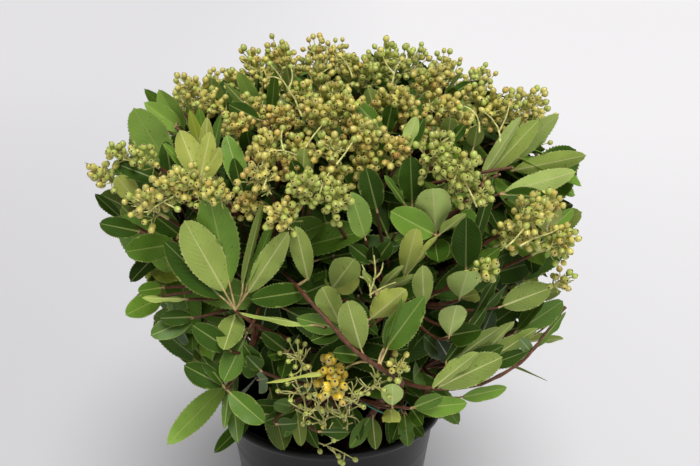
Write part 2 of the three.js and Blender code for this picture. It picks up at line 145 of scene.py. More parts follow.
# Sprays whose places show at the front: the point where the leaves join, and for each leaf its tip,
# its width, the side that faces forward, how far it is turned from that in degrees, and its tone.
FRONT_SPRAYS = (
    ((-135, -142, 509), (((-166, -76, 547), 31, "upper", -8, "pale"),)),
    ((-126, -147, 502), (((-131, -128, 534), 15, "upper", 0, "dark"),)),
    ((-128, -95, 536), (
        ((-159, -64, 550), 17, "upper", 15, "pale"), ((-167, -15, 549), 16, "upper", -15, "fresh"),
        ((-147, -57, 559), 18, "upper", -5, "pale"))),
    ((-100, -164, 510), (
        ((-116, -147, 548), 19, "under", 5, "olive"), ((-113, -109, 554), 11, "upper", 10, "olive"),
        ((-107, -102, 554), 14, "upper", 0, "fresh"), ((-96, -131, 555), 12, "under", 10, "olive"),
        ((-88, -120, 554), 12, "upper", -30, "mid"), ((-90, -159, 550), 14, "under", -8, "olive"),
        ((-131, -142, 536), 11, "upper", 45, "fresh"), ((-81, -169, 540), 14, "under", -35, "olive"))),
    ((-64, -180, 504), (
        ((-78, -160, 548), 17, "upper", 12, "fresh"), ((-70, -187, 537), 13, "upper", -15, "dark"))),
    ((-60, -162, 534), (((-61, -171, 554), 15, "upper", 0, "dark"),)),
    ((-51, -143, 554), (
        ((-75, -84, 580), 14, "upper", -10, "pale"), ((-87, -98, 575), 10, "under", 40, "dark"),
        ((-53, -83, 582), 8, "upper", 60, "dark"), ((-44, -89, 582), 10, "upper", 0, "mid"),
        ((-78, -137, 566), 14, "upper", 0, "dark"))),
    ((-29, -126, 560), (
        ((-35, -79, 585), 12, "under", 0, "mid"), ((-23, -108, 581), 11, "upper", 20, "mid"))),
    ((-18, -192, 516), (
        ((-16, -197, 548), 15, "under", 5, "fresh"), ((-25, -204, 540), 12, "upper", 20, "dark"))),
    ((-134, -146, 505), (((-172, -131, 516), 18, "upper", 20, "dark"),)),
    ((-157, -123, 478), (
        ((-170, -141, 508), 17, "under", 0, "olive"), ((-222, -48, 491), 7, "under", 35, "mid"))),
    ((-178, -98, 456), (((-193, -122, 486), 9, "upper", 10, "dark"),)),
    ((-123, -146, 456), (((-150, -125, 473), 19, "upper", 0, "dark"),)),
    ((137, -130, 363), (((164, -116, 382), 19, "upper", 0, "dark"),)),
    ((-157, -131, 456), (((-190, -129, 463), 17, "upper", 0, "dark"),)),
    ((-125, -163, 458), (((-162, -162, 451), 23, "upper", 5, "mid"),)),
    ((-74, -179, 406), (
        ((-108, -204, 495), 29, "under", 4, "fresh"), ((-126, -192, 472), 25, "upper", -6, "dark"),
        ((-89, -197, 513), 30, "upper", 6, "fresh"), ((-46, -222, 514), 10, "under", 55, "mid"),
        ((-34, -221, 507), 11, "upper", -45, "mid"), ((-27, -232, 494), 18, "under", -5, "fresh"),
        ((-81, -212, 388), 21, "under", 10, "mid"))),
    ((-13, -194, 431), (
        ((-22, -226, 497), 16, "under", 0, "fresh"), ((-19, -214, 495), 9, "upper", 10, "dark"),
        ((-56, -225, 437), 18, "upper", 0, "dark"))),
    ((-2, -213, 408), (((-67, -224, 424), 8, "under", 62, "fresh"),)),
    ((32, -215, 377), (((-49, -219, 363), 6, "under", 70, "olive"),)),
    ((13, -207, 403), (
        ((-4, -236, 454), 19, "under", 6, "fresh"), ((-23, -218, 418), 15, "upper", 0, "mid"),
        ((-12, -220, 400), 14, "upper", 15, "dark"))),
    ((28, -216, 385), (
        ((16, -241, 443), 22, "under", 0, "fresh"), ((5, -232, 396), 13, "upper", 10, "dark"))),
    ((3, -201, 434), (
        ((22, -230, 474), 22, "under", 5, "fresh"), ((26, -210, 449), 17, "under", -10, "olive"))),
    ((30, -201, 476), (((19, -225, 522), 19, "upper", 25, "pale"),)),
    ((39, -192, 495), (((30, -208, 535), 18, "upper", 0, "dark"),)),
    ((61, -189, 499), (((44, -212, 531), 7, "upper", 30, "mid"),)),
    ((66, -184, 497), (((63, -195, 541), 20, "upper", 0, "dark"),)),
    ((85, -193, 476), (
        ((79, -213, 521), 27, "under", 0, "pale"), ((105, -206, 500), 11, "under", 45, "fresh"),
        ((49, -213, 503), 22, "upper", 0, "fresh"), ((85, -210, 461), 20, "upper", 0, "dark"))),
    ((111, -169, 436), (
        ((107, -194, 491), 24, "upper", -5, "dark"), ((129, -179, 520), 12, "upper", 35, "dark"),
        ((135, -185, 463), 12, "upper", 0, "mid"))),
    ((59, -195, 440), (
        ((67, -224, 494), 16, "under", 0, "olive"), ((85, -198, 480), 9, "under", 40, "olive"))),
    ((40, -194, 430), (
        ((58, -223, 467), 8, "under", 30, "fresh"), ((69, -223, 457), 7, "under", 35, "fresh"),
        ((27, -228, 462), 7, "under", 40, "fresh"))),
    ((32, -207, 411), (((60, -229, 447), 20, "under", 10, "olive"),)),
    ((77, -192, 411), (((71, -227, 469), 16, "under", 0, "fresh"),)),
    ((105, -181, 417), (
        ((107, -217, 460), 25, "under", 0, "pale"), ((120, -189, 426), 14, "under", 15, "olive"))),
    ((97, -191, 388), (
        ((99, -221, 432), 21, "under", 0, "pale"), ((121, -203, 401), 19, "upper", 0, "dark"))),
    ((42, -211, 382), (
        ((73, -230, 441), 23, "upper", -12, "mid"), ((58, -230, 440), 7, "upper", 62, "mid"),
        ((62, -222, 435), 7, "upper", 55, "dark"))),
    ((122, -165, 507), (
        ((172, -113, 547), 18, "under", 0, "fresh"), ((157, -117, 552), 12, "under", 25, "pale"))),
    ((138, -143, 510), (((198, -67, 541), 19, "under", 0, "pale"),)),
    ((149, -137, 514), (((220, -88, 510), 17, "under", 10, "fresh"),)),
    ((136, -163, 500), (
        ((203, -130, 508), 18, "under", -6, "pale"), ((174, -164, 498), 14, "upper", 10, "dark"))),
    ((46, -157, 547), (
        ((32, -127, 578), 16, "under", 0, "mid"), ((21, -144, 571), 13, "upper", 0, "mid"),
        ((51, -146, 568), 13, "upper", 0, "dark"))),
    ((58, -180, 535), (
        ((69, -162, 563), 11, "under", 10, "pale"), ((75, -161, 561), 11, "upper", 0, "dark"))),
    ((95, -157, 538), (
        ((96, -155, 560), 13, "under", 0, "mid"), ((107, -157, 555), 9, "upper", 0, "dark"))),
    ((116, -150, 532), (((117, -157, 554), 13, "under", 0, "mid"),)),
    ((98, -89, 560), (
        ((120, -78, 571), 10, "upper", 0, "dark"), ((112, -60, 575), 6, "under", 40, "mid"),
        ((106, -112, 570), 11, "upper", 0, "mid"))),
    ((185, -110, 448), (
        ((181, -145, 487), 21, "under", 0, "olive"), ((207, -111, 470), 11, "upper", 20, "fresh"))),
    ((140, -161, 401), (
        ((184, -156, 417), 22, "under", 0, "mid"), ((205, -102, 391), 20, "under", 20, "fresh"))),
    ((160, -129, 363), (
        ((201, -128, 391), 23, "upper", 25, "mid"), ((180, -151, 406), 14, "upper", -50, "mid"))),
    ((115, -176, 395), (
        ((143, -184, 432), 10, "upper", 55, "dark"), ((137, -177, 439), 11, "upper", 40, "dark"))),
    ((82, -190, 339), (
        ((142, -186, 369), 24, "under", 0, "mid"), ((120, -199, 381), 15, "under", 25, "fresh"),
        ((146, -166, 369), 20, "upper", 0, "dark"))),
    ((68, -186, 321), (
        ((115, -187, 326), 18, "upper", 20, "fresh"), ((93, -198, 339), 13, "upper", 10, "mid"),
        ((77, -195, 311), 13, "upper", 20, "dark"))),
    ((109, -167, 320), (((151, -164, 328), 15, "upper", 25, "fresh"),)),
    ((156, -154, 334), (((198, -106, 305), 6, "under", 65, "mid"),)),
    ((175, -133, 346), (
        ((212, -88, 337), 11, "under", 30, "fresh"), ((205, -121, 379), 9, "upper", 30, "mid"),
        ((158, -171, 377), 10, "upper", 0, "mid"))),
    ((52, -208, 334), (
        ((51, -226, 366), 17, "under", 0, "pale"), ((52, -211, 321), 15, "under", 0, "olive"))),
    ((-109, -175, 398), (
        ((-146, -170, 380), 18, "upper", 10, "mid"), ((-137, -171, 396), 13, "upper", 0, "dark"))),
    ((-134, -159, 418), (((-154, -169, 419), 12, "upper", 15, "mid"),)),
    ((-143, -147, 403), (((-170, -146, 388), 19, "upper", 10, "fresh"),)),
    ((-112, -176, 415), (((-150, -175, 415), 7, "under", 50, "fresh"),)),
    ((-65, -202, 395), (((-83, -207, 357), 19, "upper", 0, "mid"),)),
    ((-82, -199, 346), (
        ((-115, -198, 367), 19, "upper", 0, "dark"), ((-144, -141, 259), 22, "upper", 8, "pale"),
        ((-85, -200, 310), 8, "upper", 15, "mid"), ((-75, -196, 294), 14, "upper", 0, "mid"),
        ((-51, -212, 322), 19, "upper", 0, "mid"), ((-102, -189, 371), 11, "upper", 30, "dark"))),
    ((-76, -199, 380), (((-106, -201, 404), 18, "upper", 0, "dark"),)),
    ((-66, -176, 298), (((-103, -142, 250), 14, "upper", 20, "dark"),)),
    ((-53, -197, 361), (
        ((-63, -217, 386), 13, "upper", 0, "dark"), ((-66, -216, 376), 16, "upper", 0, "dark"),
        ((-64, -219, 396), 13, "upper", 10, "dark"))),
    ((-43, -193, 310), (((-25, -213, 322), 13, "upper", 20, "dark"),)),
    ((-8, -198, 306), (((18, -215, 316), 11, "upper", 25, "dark"),)),
    ((67, -115, 276), (
        ((56, -132, 258), 15, "upper", 10, "dark"), ((70, -135, 253), 15, "upper", -10, "mid"),
        ((84, -130, 260), 14, "upper", 15, "dark"))),
    ((-27, -123, 285), (
        ((-52, -180, 305), 15, "upper", 0, "dark"), ((-45, -191, 330), 14, "upper", 10, "mid"),
        ((-66, -169, 315), 13, "upper", 0, "dark"))),
    ((-31, -111, 282), (
        ((-41, -132, 260), 14, "upper", 0, "mid"), ((-25, -137, 254), 14, "under", 20, "mid"),
        ((-11, -137, 252), 13, "upper", 10, "dark"))),
    ((130, -120, 349), (
        ((136, -157, 395), 15, "upper", 0, "dark"), ((124, -158, 390), 13, "upper", 20, "deep"))),
    ((37, -191, 452), (
        ((18, -206, 474), 12, "upper", 0, "dark"), ((49, -202, 475), 12, "upper", 10, "dark"),
        ((35, -203, 472), 11, "upper", 0, "deep"))),
    ((38, -116, 275), (
        ((18, -137, 252), 14, "upper", -10, "mid"), ((41, -138, 251), 13, "under", 10, "dark"))),
    ((-33, -178, 369), (
        ((-52, -195, 395), 13, "upper", 0, "dark"), ((-22, -198, 395), 11, "upper", 10, "deep"),
        ((-48, -191, 372), 12, "upper", 20, "dark"), ((-38, -186, 349), 13, "upper", -10, "dark"))),
    ((-7, -108, 286), (
        ((-27, -126, 264), 16, "upper", 10, "dark"), ((-7, -130, 260), 16, "upper", -10, "dark"),
        ((13, -127, 265), 16, "upper", 0, "mid"))),
    ((18, -109, 283), (
        ((5, -130, 259), 16, "under", 10, "mid"), ((27, -133, 258), 15, "upper", 0, "dark"))),
    ((110, -98, 316), (
        ((78, -182, 385), 16, "upper", 0, "dark"), ((91, -179, 379), 15, "upper", 10, "deep"))),
    ((119, -150, 336), (
        ((176, -152, 378), 16, "under", 20, "mid"), ((170, -152, 356), 14, "upper", 25, "dark"),
        ((151, -174, 398), 12, "under", 30, "fresh"))),
    ((89, -173, 346), (
        ((139, -182, 396), 15, "under", 35, "mid"), ((128, -186, 412), 12, "upper", 20, "dark"))),
)
# Heads of berries whose places show at the front: middle, radius, colour, and how full the head is.
FRONT_HEADS = (
    ((-64, -15, 568), 19, "olive", 0.65), ((-41, -9, 570), 21, "olive", 0.6),
    ((-48, -67, 563), 15, "olive", 0.8), ((-78, -43, 561), 14, "olive", 0.8),
    ((-9, -61, 569), 19, "olive", 0.7), ((19, -50, 570), 17, "olive", 0.8),
    ((44, -38, 573), 22, "fresh", 0.8), ((70, -17, 572), 20, "fresh", 0.75),
    ((30, -58, 572), 17, "fresh", 0.7), ((79, -94, 569), 22, "olive", 1),
    ((53, -128, 564), 21, "olive", 1), ((14, -143, 561), 21, "olive", 1),
    ((-8, -152, 557), 22, "olive", 1), ((-112, -66, 558), 20, "olive", 1),
    ((-69, -143, 547), 18, "gold", 1), ((30, -171, 547), 22, "olive", 1),
    ((3, -189, 542), 21, "olive", 0.65), ((52, -173, 537), 17, "gold", 0.9),
    ((90, -130, 557), 20, "olive", 1), ((119, -83, 558), 12, "olive", 0.8),
    ((143, -94, 552), 18, "olive", 1), ((166, -74, 547), 19, "olive", 1),
    ((82, -193, 539), 22, "fresh", 1), ((99, -198, 526), 22, "fresh", 1),
    ((115, -195, 509), 13, "fresh", 0.7), ((6, -219, 514), 18, "fresh", 1),
    ((-14, -219, 522), 21, "fresh", 1), ((-48, -203, 526), 22, "gold", 0.4),
    ((-31, -221, 501), 19, "gold", 0.8), ((-166, -132, 523), 13, "fresh", 0.8),
    ((-141, -157, 526), 12, "fresh", 0.7), ((-182, -128, 503), 12, "olive", 0.7),
    ((-136, -184, 496), 20, "olive", 0.7), ((-103, -192, 516), 22, "olive", 0.9),
    ((-118, -190, 511), 15, "olive", 0.7), ((154, -184, 486), 24, "olive", 1),
    ((180, -166, 459), 21, "olive", 1), ((121, -207, 452), 13, "fresh", 0.7),
    ((192, -150, 419), 13, "olive", 0.5), ((4, -208, 368), 15, "ripe", 0.55),
    ((5, -214, 354), 18, "ripe", 0.5), ((-23, -189, 338), 22, "fresh", 0.28),
    ((-8, -195, 330), 21, "fresh", 0.28), ((20, -200, 338), 18, "fresh", 0.28),
    ((39, -205, 354), 16, "fresh", 0.28), ((56, -215, 374), 13, "olive", 0.5),
    ((-44, -180, 541), 18, "olive", 0.9), ((-81, -199, 511), 14, "olive", 0.8),
    ((-21, -105, 559), 19, "olive", 1), ((-59, -111, 552), 18, "olive", 1),
    ((-36, -133, 549), 18, "gold", 1), ((3, -104, 560), 18, "olive", 1), ((21, -143, 544), 17, "gold", 1),
    ((37, -118, 555), 18, "olive", 1), ((68, -134, 544), 19, "olive", 1),
    ((-21, -165, 535), 17, "olive", 1), ((104, -117, 543), 16, "olive", 1),
    ((132, -89, 543), 15, "olive", 1), ((-95, -85, 550), 15, "olive", 1), ((6, -184, 520), 16, "gold", 1),
    ((27, -172, 524), 16, "gold", 1), ((-23, -181, 524), 15, "gold", 1),
    ((-59, -190, 499), 14, "gold", 0.9), ((145, -168, 465), 18, "gold", 1),
    ((169, -162, 488), 16, "olive", 1), ((-4, -171, 301), 20, "fresh", 0.28),
    ((15, -158, 298), 17, "fresh", 0.28), ((-22, -197, 371), 16, "fresh", 0.28),
)
# Bare forked stalks that stand before the heads, each with a berry at its end.
LOOSE_STALKS = (
    ((-19, -166, 564), (-22, -150, 569), (-33, -120, 577), (-42, -91, 582), (-49, -70, 584)),
    ((-31, -124, 576), (-28, -107, 580), (-31, -83, 584)),
    ((-37, -109, 579), (-46, -99, 581), (-50, -106, 579)),
    ((-21, -204, 544), (-31, -198, 546), (-40, -197, 546), (-47, -198, 543)),
    ((-31, -200, 546), (-34, -190, 552), (-33, -181, 557)),
    ((-46, -219, 522), (-42, -214, 531), (-46, -203, 540), (-51, -196, 546)),
    ((-15, -197, 548), (-10, -188, 554), (-3, -178, 560)),
    ((8, -211, 539), (15, -203, 546), (20, -195, 552)),
    ((118, -162, 550), (119, -148, 558), (113, -137, 563), (105, -136, 566)),
    ((134, -164, 543), (135, -152, 549), (130, -141, 556), (124, -137, 560)),
    ((134, -154, 548), (142, -135, 554), (147, -116, 560)),
    ((20, -107, 581), (17, -80, 585), (10, -51, 587)),
    ((52, -115, 577), (55, -85, 583), (62, -56, 585)),
    ((54, -94, 581), (48, -72, 585), (46, -47, 587)),
    ((-137, -191, 493), (-128, -195, 503), (-116, -199, 509), (-108, -200, 516)),
    ((-133, -188, 507), (-123, -197, 505), (-113, -205, 503)),
    ((148, -199, 470), (160, -191, 474), (173, -181, 473), (184, -170, 474)),
    ((136, -207, 472), (143, -202, 476), (151, -197, 484)),
    ((93, -212, 523), (98, -203, 531), (102, -195, 538)),
    ((112, -213, 507), (107, -208, 518), (101, -204, 528)),
    ((-5, -228, 519), (-2, -223, 528), (3, -217, 535)),
)
# Twigs whose bare wood shows at the front: the points that they follow, and their radii at both ends.
FRONT_TWIGS = (
    (((-36, -160, 432), (-24, -206, 441), (-5, -228, 428), (18, -232, 401), (30, -229, 389), (49, -218, 370),
      (58, -196, 350)), 1.2, 2.1),
    (((52, -150, 330), (83, -192, 341), (121, -180, 338), (141, -168, 340), (165, -148, 344),
      (175, -138, 350), (187, -131, 364), (206, -112, 379)), 1.9, 1.0),
    (((34, -150, 392), (38, -196, 424), (36, -210, 437)), 1.8, 0.9),
    (((-10, -120, 340), (-48, -178, 388), (-60, -187, 399), (-73, -188, 411)), 1.9, 1.4),
    (((58, -196, 350), (56, -160, 328), (46, -132, 300), (36, -108, 266), (26, -90, 236), (12, -62, 150),
      (6, -52, 10)), 2.8, 4.4),
)
# The forked stalks of a head that has shed its berries.
SPENT_STALKS = (
    ((34, -210, 432), (33, -212, 446), (27, -212, 460)),
    ((34, -210, 438), (38, -212, 452), (36, -213, 468)),
    ((33, -210, 434), (44, -212, 442), (53, -213, 446)),
    ((36, -212, 448), (42, -213, 454), (43, -213, 462)),
    ((32, -212, 448), (25, -212, 450), (22, -212, 454)),
)
# The loose forked stalk that hangs over the rim, with a small berry at the end of each branch.
RIM_STALKS = (
    ((-32, -100, 255), (-25, -112, 255), (-16, -121, 252), (-6, -124, 247), (2, -126, 246), (13, -127, 241),
     (21, -128, 236)),
    ((-16, -121, 252), (-12, -124, 248), (-10, -127, 245)),
    ((-6, -124, 247), (1, -128, 252), (5, -130, 257)),
    ((-2, -125, 246), (3, -129, 244), (6, -131, 242)),
    ((2, -126, 246), (5, -129, 241), (8, -130, 236)),
    ((13, -127, 241), (13, -130, 239), (12, -131, 235)),
)


# Points and directions
def unit(vector):
    return vector / np.linalg.norm(vector)


def around(out, degrees, height):
    """A point given by its distance from the Z axis, its direction in degrees and its height."""
    turn = math.radians(degrees)
    return np.array([out * math.cos(turn), out * math.sin(turn), height])


def sides_of(axis):
    """Two directions square to an axis and to each other."""
    flat = np.array([1.0, 0.0, 0.0]) if abs(axis[2]) > 0.98 else UP
    first = unit(np.cross(flat, axis))
    return first, np.cross(axis, first)


def leaning(axis, lean, turn):
    """The direction that leans from an axis by an angle, at a turn about that axis."""
    first, second = sides_of(axis)
    return math.cos(lean) * axis + math.sin(lean) * (math.cos(turn) * first + math.sin(turn) * second)


def square_part(vector, axis):
    """The unit direction of what is left of a vector when its part along an axis is taken away."""
    return unit(vector - np.dot(vector, axis) * axis)


def mix(first, second, share):
    return first + (second - first) * share


def bend_through(start, middle, end, steps):
    """Points on the curve that leaves its start towards the middle point and comes to its end from there."""
    share = np.linspace(0, 1, steps + 1)[:, None]
    return (1 - share) ** 2 * start + 2 * share * (1 - share) * middle + share**2 * end


def evenly(points, count):
    """The same path by a number of evenly spaced points."""
    lengths = np.linalg.norm(np.diff(points, axis=0), axis=1)
    along = np.concatenate([[0], np.cumsum(lengths)])
    wanted = np.linspace(0, along[-1], count)
    return np.stack([np.interp(wanted, along, points[:, i]) for i in range(3)], axis=1)


def rounded(points, count):
    """A smooth path of evenly spaced points that keeps close to a few given ones."""
    path = np.array(points, dtype=float)
    for _ in range(3):
        cut = np.empty((2 * len(path), 3))
        cut[0], cut[-1] = path[0], path[-1]
        cut[1:-1:2] = mix(path[:-1], path[1:], 0.25)
        cut[2:-1:2] = mix(path[:-1], path[1:], 0.75)
        path = cut
    return evenly(path, count)


def point_at(path, share):
    place = share * (len(path) - 1)
    step = min(int(place), len(path) - 2)
    return mix(path[step], path[step + 1], place - step)


def heading_at(path, share):
    step = min(int(share * (len(path) - 1)), len(path) - 2)
    return unit(path[step + 1] - path[step])


# Small forms that are repeated, and pieces joined from their copies
def read(items, name, width, kind=float):
    values = np.empty(len(items) * width, dtype=kind)
    items.foreach_get(name, values)
    return values.reshape(-1, width) if width > 1 else values


class Form:
    """One small closed form. A piece is joined from copies of it, each with points of its own."""

    def __init__(self, work):
        mesh = bpy.data.meshes.new("form")
        work.to_mesh(mesh)
        work.free()
        self.points = read(mesh.vertices, "co", 3)
        self.edges = read(mesh.edges, "vertices", 2, np.int32)
        self.corners = read(mesh.loops, "vertex_index", 1, np.int32)
        self.corner_edges = read(mesh.loops, "edge_index", 1, np.int32)
        self.starts = read(mesh.polygons, "loop_start", 1, np.int32)
        self.finishes = read(mesh.polygons, "material_index", 1, np.int32)
        self.sharp = read(mesh.edges, "use_edge_sharp", 1, bool)
        bpy.data.meshes.remove(mesh)


def joined(name, parts, finishes):
    """One piece from several (form, points of each copy in millimetres, map of the form's points)."""
    counts = [0, 0, 0]
    kinds = ("points", "edges", "corners", "corner_edges", "starts", "finishes", "sharp", "map")
    gathered = {kind: [] for kind in kinds}
    for form, points, flat in parts:
        copies = len(points)
        vertices, edges, corners = len(form.points), len(form.edges), len(form.corners)
        first = np.arange(copies)[:, None]
        gathered["points"].append(points.reshape(-1, 3) * MM)
        gathered["edges"].append((form.edges.ravel() + first * vertices + counts[0]).reshape(-1))
        gathered["corners"].append((form.corners + first * vertices + counts[0]).reshape(-1))
        gathered["corner_edges"].append((form.corner_edges + first * edges + counts[1]).reshape(-1))
        gathered["starts"].append((form.starts + first * corners + counts[2]).reshape(-1))
        gathered["finishes"].append(np.tile(form.finishes, copies))
        gathered["sharp"].append(np.tile(form.sharp, copies))
        gathered["map"].append(np.tile(flat[form.corners], (copies, 1)))
        counts = [counts[0] + copies * vertices, counts[1] + copies * edges, counts[2] + copies * corners]
    whole = {key: np.concatenate(value) for key, value in gathered.items()}
    mesh = bpy.data.meshes.new(name)
    mesh.vertices.add(counts[0])
    mesh.vertices.foreach_set("co", whole["points"].ravel())
    mesh.edges.add(counts[1])
    mesh.edges.foreach_set("vertices", whole["edges"])
    mesh.loops.add(counts[2])
    mesh.loops.foreach_set("vertex_index", whole["corners"])
    mesh.loops.foreach_set("edge_index", whole["corner_edges"])
    mesh.polygons.add(len(whole["starts"]))
    mesh.polygons.foreach_set("loop_start", whole["starts"])
    mesh.polygons.foreach_set("material_index", whole["finishes"])
    mesh.polygons.foreach_set("use_smooth", np.ones(len(whole["starts"]), dtype=bool))
    mesh.edges.foreach_set("use_edge_sharp", whole["sharp"])
    mesh.uv_layers.new(name="surface").data.foreach_set("uv", whole["map"].ravel())
    mesh.update()
    for finish in finishes:
        mesh.materials.append(finish)
    return placed(name, mesh)


def placed(name, mesh):
    piece = bpy.data.objects.new(name, mesh)
    bpy.context.scene.collection.objects.link(piece)
    return piece


def bar_form(sides, steps):
    """An upright bar of unit radius, with its height counted in steps."""
    work = bmesh.new()
    bmesh.ops.create_cone(work, cap_ends=True, segments=sides, radius1=1, radius2=1, depth=1)
    uprights = [edge for edge in work.edges if abs(edge.verts[0].co.z - edge.verts[1].co.z) > 0.5]
    bmesh.ops.subdivide_edges(work, edges=uprights, cuts=steps - 1, use_grid_fill=True)
    for vertex in work.verts:
        vertex.co.z = round((vertex.co.z + 0.5) * steps)
    for edge in work.edges:
        edge.smooth = len({round(face.normal.z) for face in edge.link_faces}) == 1
    bmesh.ops.recalc_face_normals(work, faces=work.faces)
    return Form(work)


def bar_points(form, paths, radii, roughness=None):
    """The points of a bar bent along each path. Paths and radii have one entry for each of its steps."""
    paths = np.asarray(paths, dtype=float)
    headings = np.gradient(paths, axis=1)
    headings /= np.linalg.norm(headings, axis=2, keepdims=True)
    first = np.array([sides_of(each)[0] for each in headings[:, 0]])
    points = np.empty((len(paths), len(form.points), 3))
    step_of = form.points[:, 2].astype(int)
    for step in range(paths.shape[1]):
        heading = headings[:, step]
        first = first - (first * heading).sum(axis=1, keepdims=True) * heading
        first /= np.linalg.norm(first, axis=1, keepdims=True)
        second = np.cross(heading, first)
        ring = np.nonzero(step_of == step)[0]
        flat = form.points[ring, :2].T[:, None, :, None]
        across = flat[0] * first[:, None] + flat[1] * second[:, None]
        radius = radii[:, step][:, None, None]
        if roughness is not None:
            radius = radius * roughness[:, ring][:, :, None]
        points[:, ring] = paths[:, step][:, None] + across * radius
    return points


def bar_map(form):
    """A map with the turn about the bar across and the steps along it."""
    turn = np.arctan2(form.points[:, 1], form.points[:, 0]) / (2 * math.pi) + 0.5
    return np.stack([turn, form.points[:, 2] / form.points[:, 2].max()], axis=1)


# Leaves
LEAF_ROWS = 10
LEAF_ACROSS = (-1, -0.55, -0.07, 0.07, 0.55, 1)
TEETH_CUTS = 4
LEAF_THICKNESS = 0.5
RIB_WIDTH = 0.85


def leaf_form():
    """A flat leaf: X is a share of the length, Y of the half width. Z is 1 above, -1 below, 0 at the edge."""
    work = bmesh.new()
    bmesh.ops.create_grid(work, x_segments=LEAF_ROWS, y_segments=len(LEAF_ACROSS) - 1, size=1)
    for vertex in work.verts:
        column = round((vertex.co.y + 1) / 2 * (len(LEAF_ACROSS) - 1))
        row = (vertex.co.x + 1) / 2
        vertex.co = (mix(row, (1 - math.cos(math.pi * row)) / 2, 0.75), LEAF_ACROSS[column], 0)
    tip = [vertex for vertex in work.verts if vertex.co.x > 0.999]
    bmesh.ops.pointmerge(work, verts=tip, merge_co=(1, 0, 0))
    margin = [edge for edge in work.edges if edge.is_boundary and max(v.co.x for v in edge.verts) > 0.01]
    margin = [edge for edge in margin if min(v.co.x for v in edge.verts) < 0.97]
    bmesh.ops.subdivide_edges(work, edges=margin, cuts=TEETH_CUTS)
    for way in (-1, 1):
        rim = [v for v in work.verts if v.is_boundary and v.co.y * way > 0.9 and v.co.x > 0.12]
        for tooth in sorted(rim, key=lambda vertex: vertex.co.x)[::2]:
            tooth.co.x += 0.008
            tooth.co.y *= 1.085
    for face in work.faces:
        face.material_index = 2 if abs(face.calc_center_median().y) < 0.05 else 0
    above = [*work.verts, *work.edges, *work.faces]
    below = bmesh.ops.duplicate(work, geom=above)["geom"]
    lower_faces = [item for item in below if isinstance(item, bmesh.types.BMFace)]
    for vertex in work.verts:
        vertex.co.z = 0 if vertex.is_boundary else 1
    for item in below:
        if isinstance(item, bmesh.types.BMVert):
            item.co.z = -item.co.z
    bmesh.ops.reverse_faces(work, faces=lower_faces)
    for face in lower_faces:
        face.material_index = 1 if face.material_index == 0 else 3
    bmesh.ops.remove_doubles(work, verts=work.verts, dist=0.001)
    for edge in work.edges:
        edge.smooth = len({face.material_index in (0, 2) for face in edge.link_faces}) == 1
    return Form(work)


def leaf_points(form, leaves):
    """The points of each leaf: narrowed to its outline, folded along its rib, bent, waved and twisted."""
    along, across, side = form.points.T

    def each(key):
        return np.array([leaf[key] for leaf in leaves])[:, None]

    length, width, lower, upper = each("length"), each("width"), each("base"), each("point")
    widest = lower / (lower + upper)
    outline = along**lower * np.clip(1 - along, 0, 1) ** upper / (widest**lower * (1 - widest) ** upper)
    half = width / 2 * outline + 0.8 * (1 - along) ** 4
    rib = np.abs(across) < 0.1
    rib_half = np.minimum(RIB_WIDTH * (1 - 0.72 * along), 0.45 * half)
    aside = np.where(rib, np.sign(across) * rib_half, half * across)
    relief = np.where(side > 0, -0.15, -0.5) * rib * (1.1 - along)
    thickness = side * LEAF_THICKNESS / 2 * (1 - 0.5 * along)
    lift = np.abs(aside) * np.tan(each("fold")) * (1 - 0.4 * along) + thickness
    ripple = np.sin(2 * math.pi * (along * each("waves") + each("phase")) + (across > 0) * 2.2)
    lift = lift + relief + each("ripple") * across**2 * ripple * np.sin(math.pi * along)
    curl = each("curl")
    bend = curl * along
    forward = length * np.sin(bend) / curl + lift * np.sin(bend)
    raised = -length * (1 - np.cos(bend)) / curl + lift * np.cos(bend)
    turn = each("twist") * along
    across_turned = aside * np.cos(turn) - raised * np.sin(turn) * 0.6
    raised = raised + aside * np.sin(turn)
    heading = np.array([leaf["heading"] for leaf in leaves])
    face = np.array([leaf["face"] for leaf in leaves])
    sideways = np.cross(face, heading)
    root = np.array([leaf["root"] for leaf in leaves])
    return (
        root[:, None]
        + forward[:, :, None] * heading[:, None]
        + across_turned[:, :, None] * sideways[:, None]
        + raised[:, :, None] * face[:, None]
    )


class Room:
    """What space is taken, kept as sample points in cells."""

    def __init__(self, cell):
        self.cell = cell
        self.taken = {}

    def key(self, point):
        return tuple(int(value // self.cell) for value in point)

    def is_free(self, samples, gap):
        for sample in samples:
            x, y, z = self.key(sample)
            for cell in ((x + i, y + j, z + k) for i in (-1, 0, 1) for j in (-1, 0, 1) for k in (-1, 0, 1)):
                for other in self.taken.get(cell, ()):
                    if np.linalg.norm(sample - other) < gap:
                        return False
        return True

    def take(self, samples):
        for sample in samples:
            self.taken.setdefault(self.key(sample), []).append(sample)


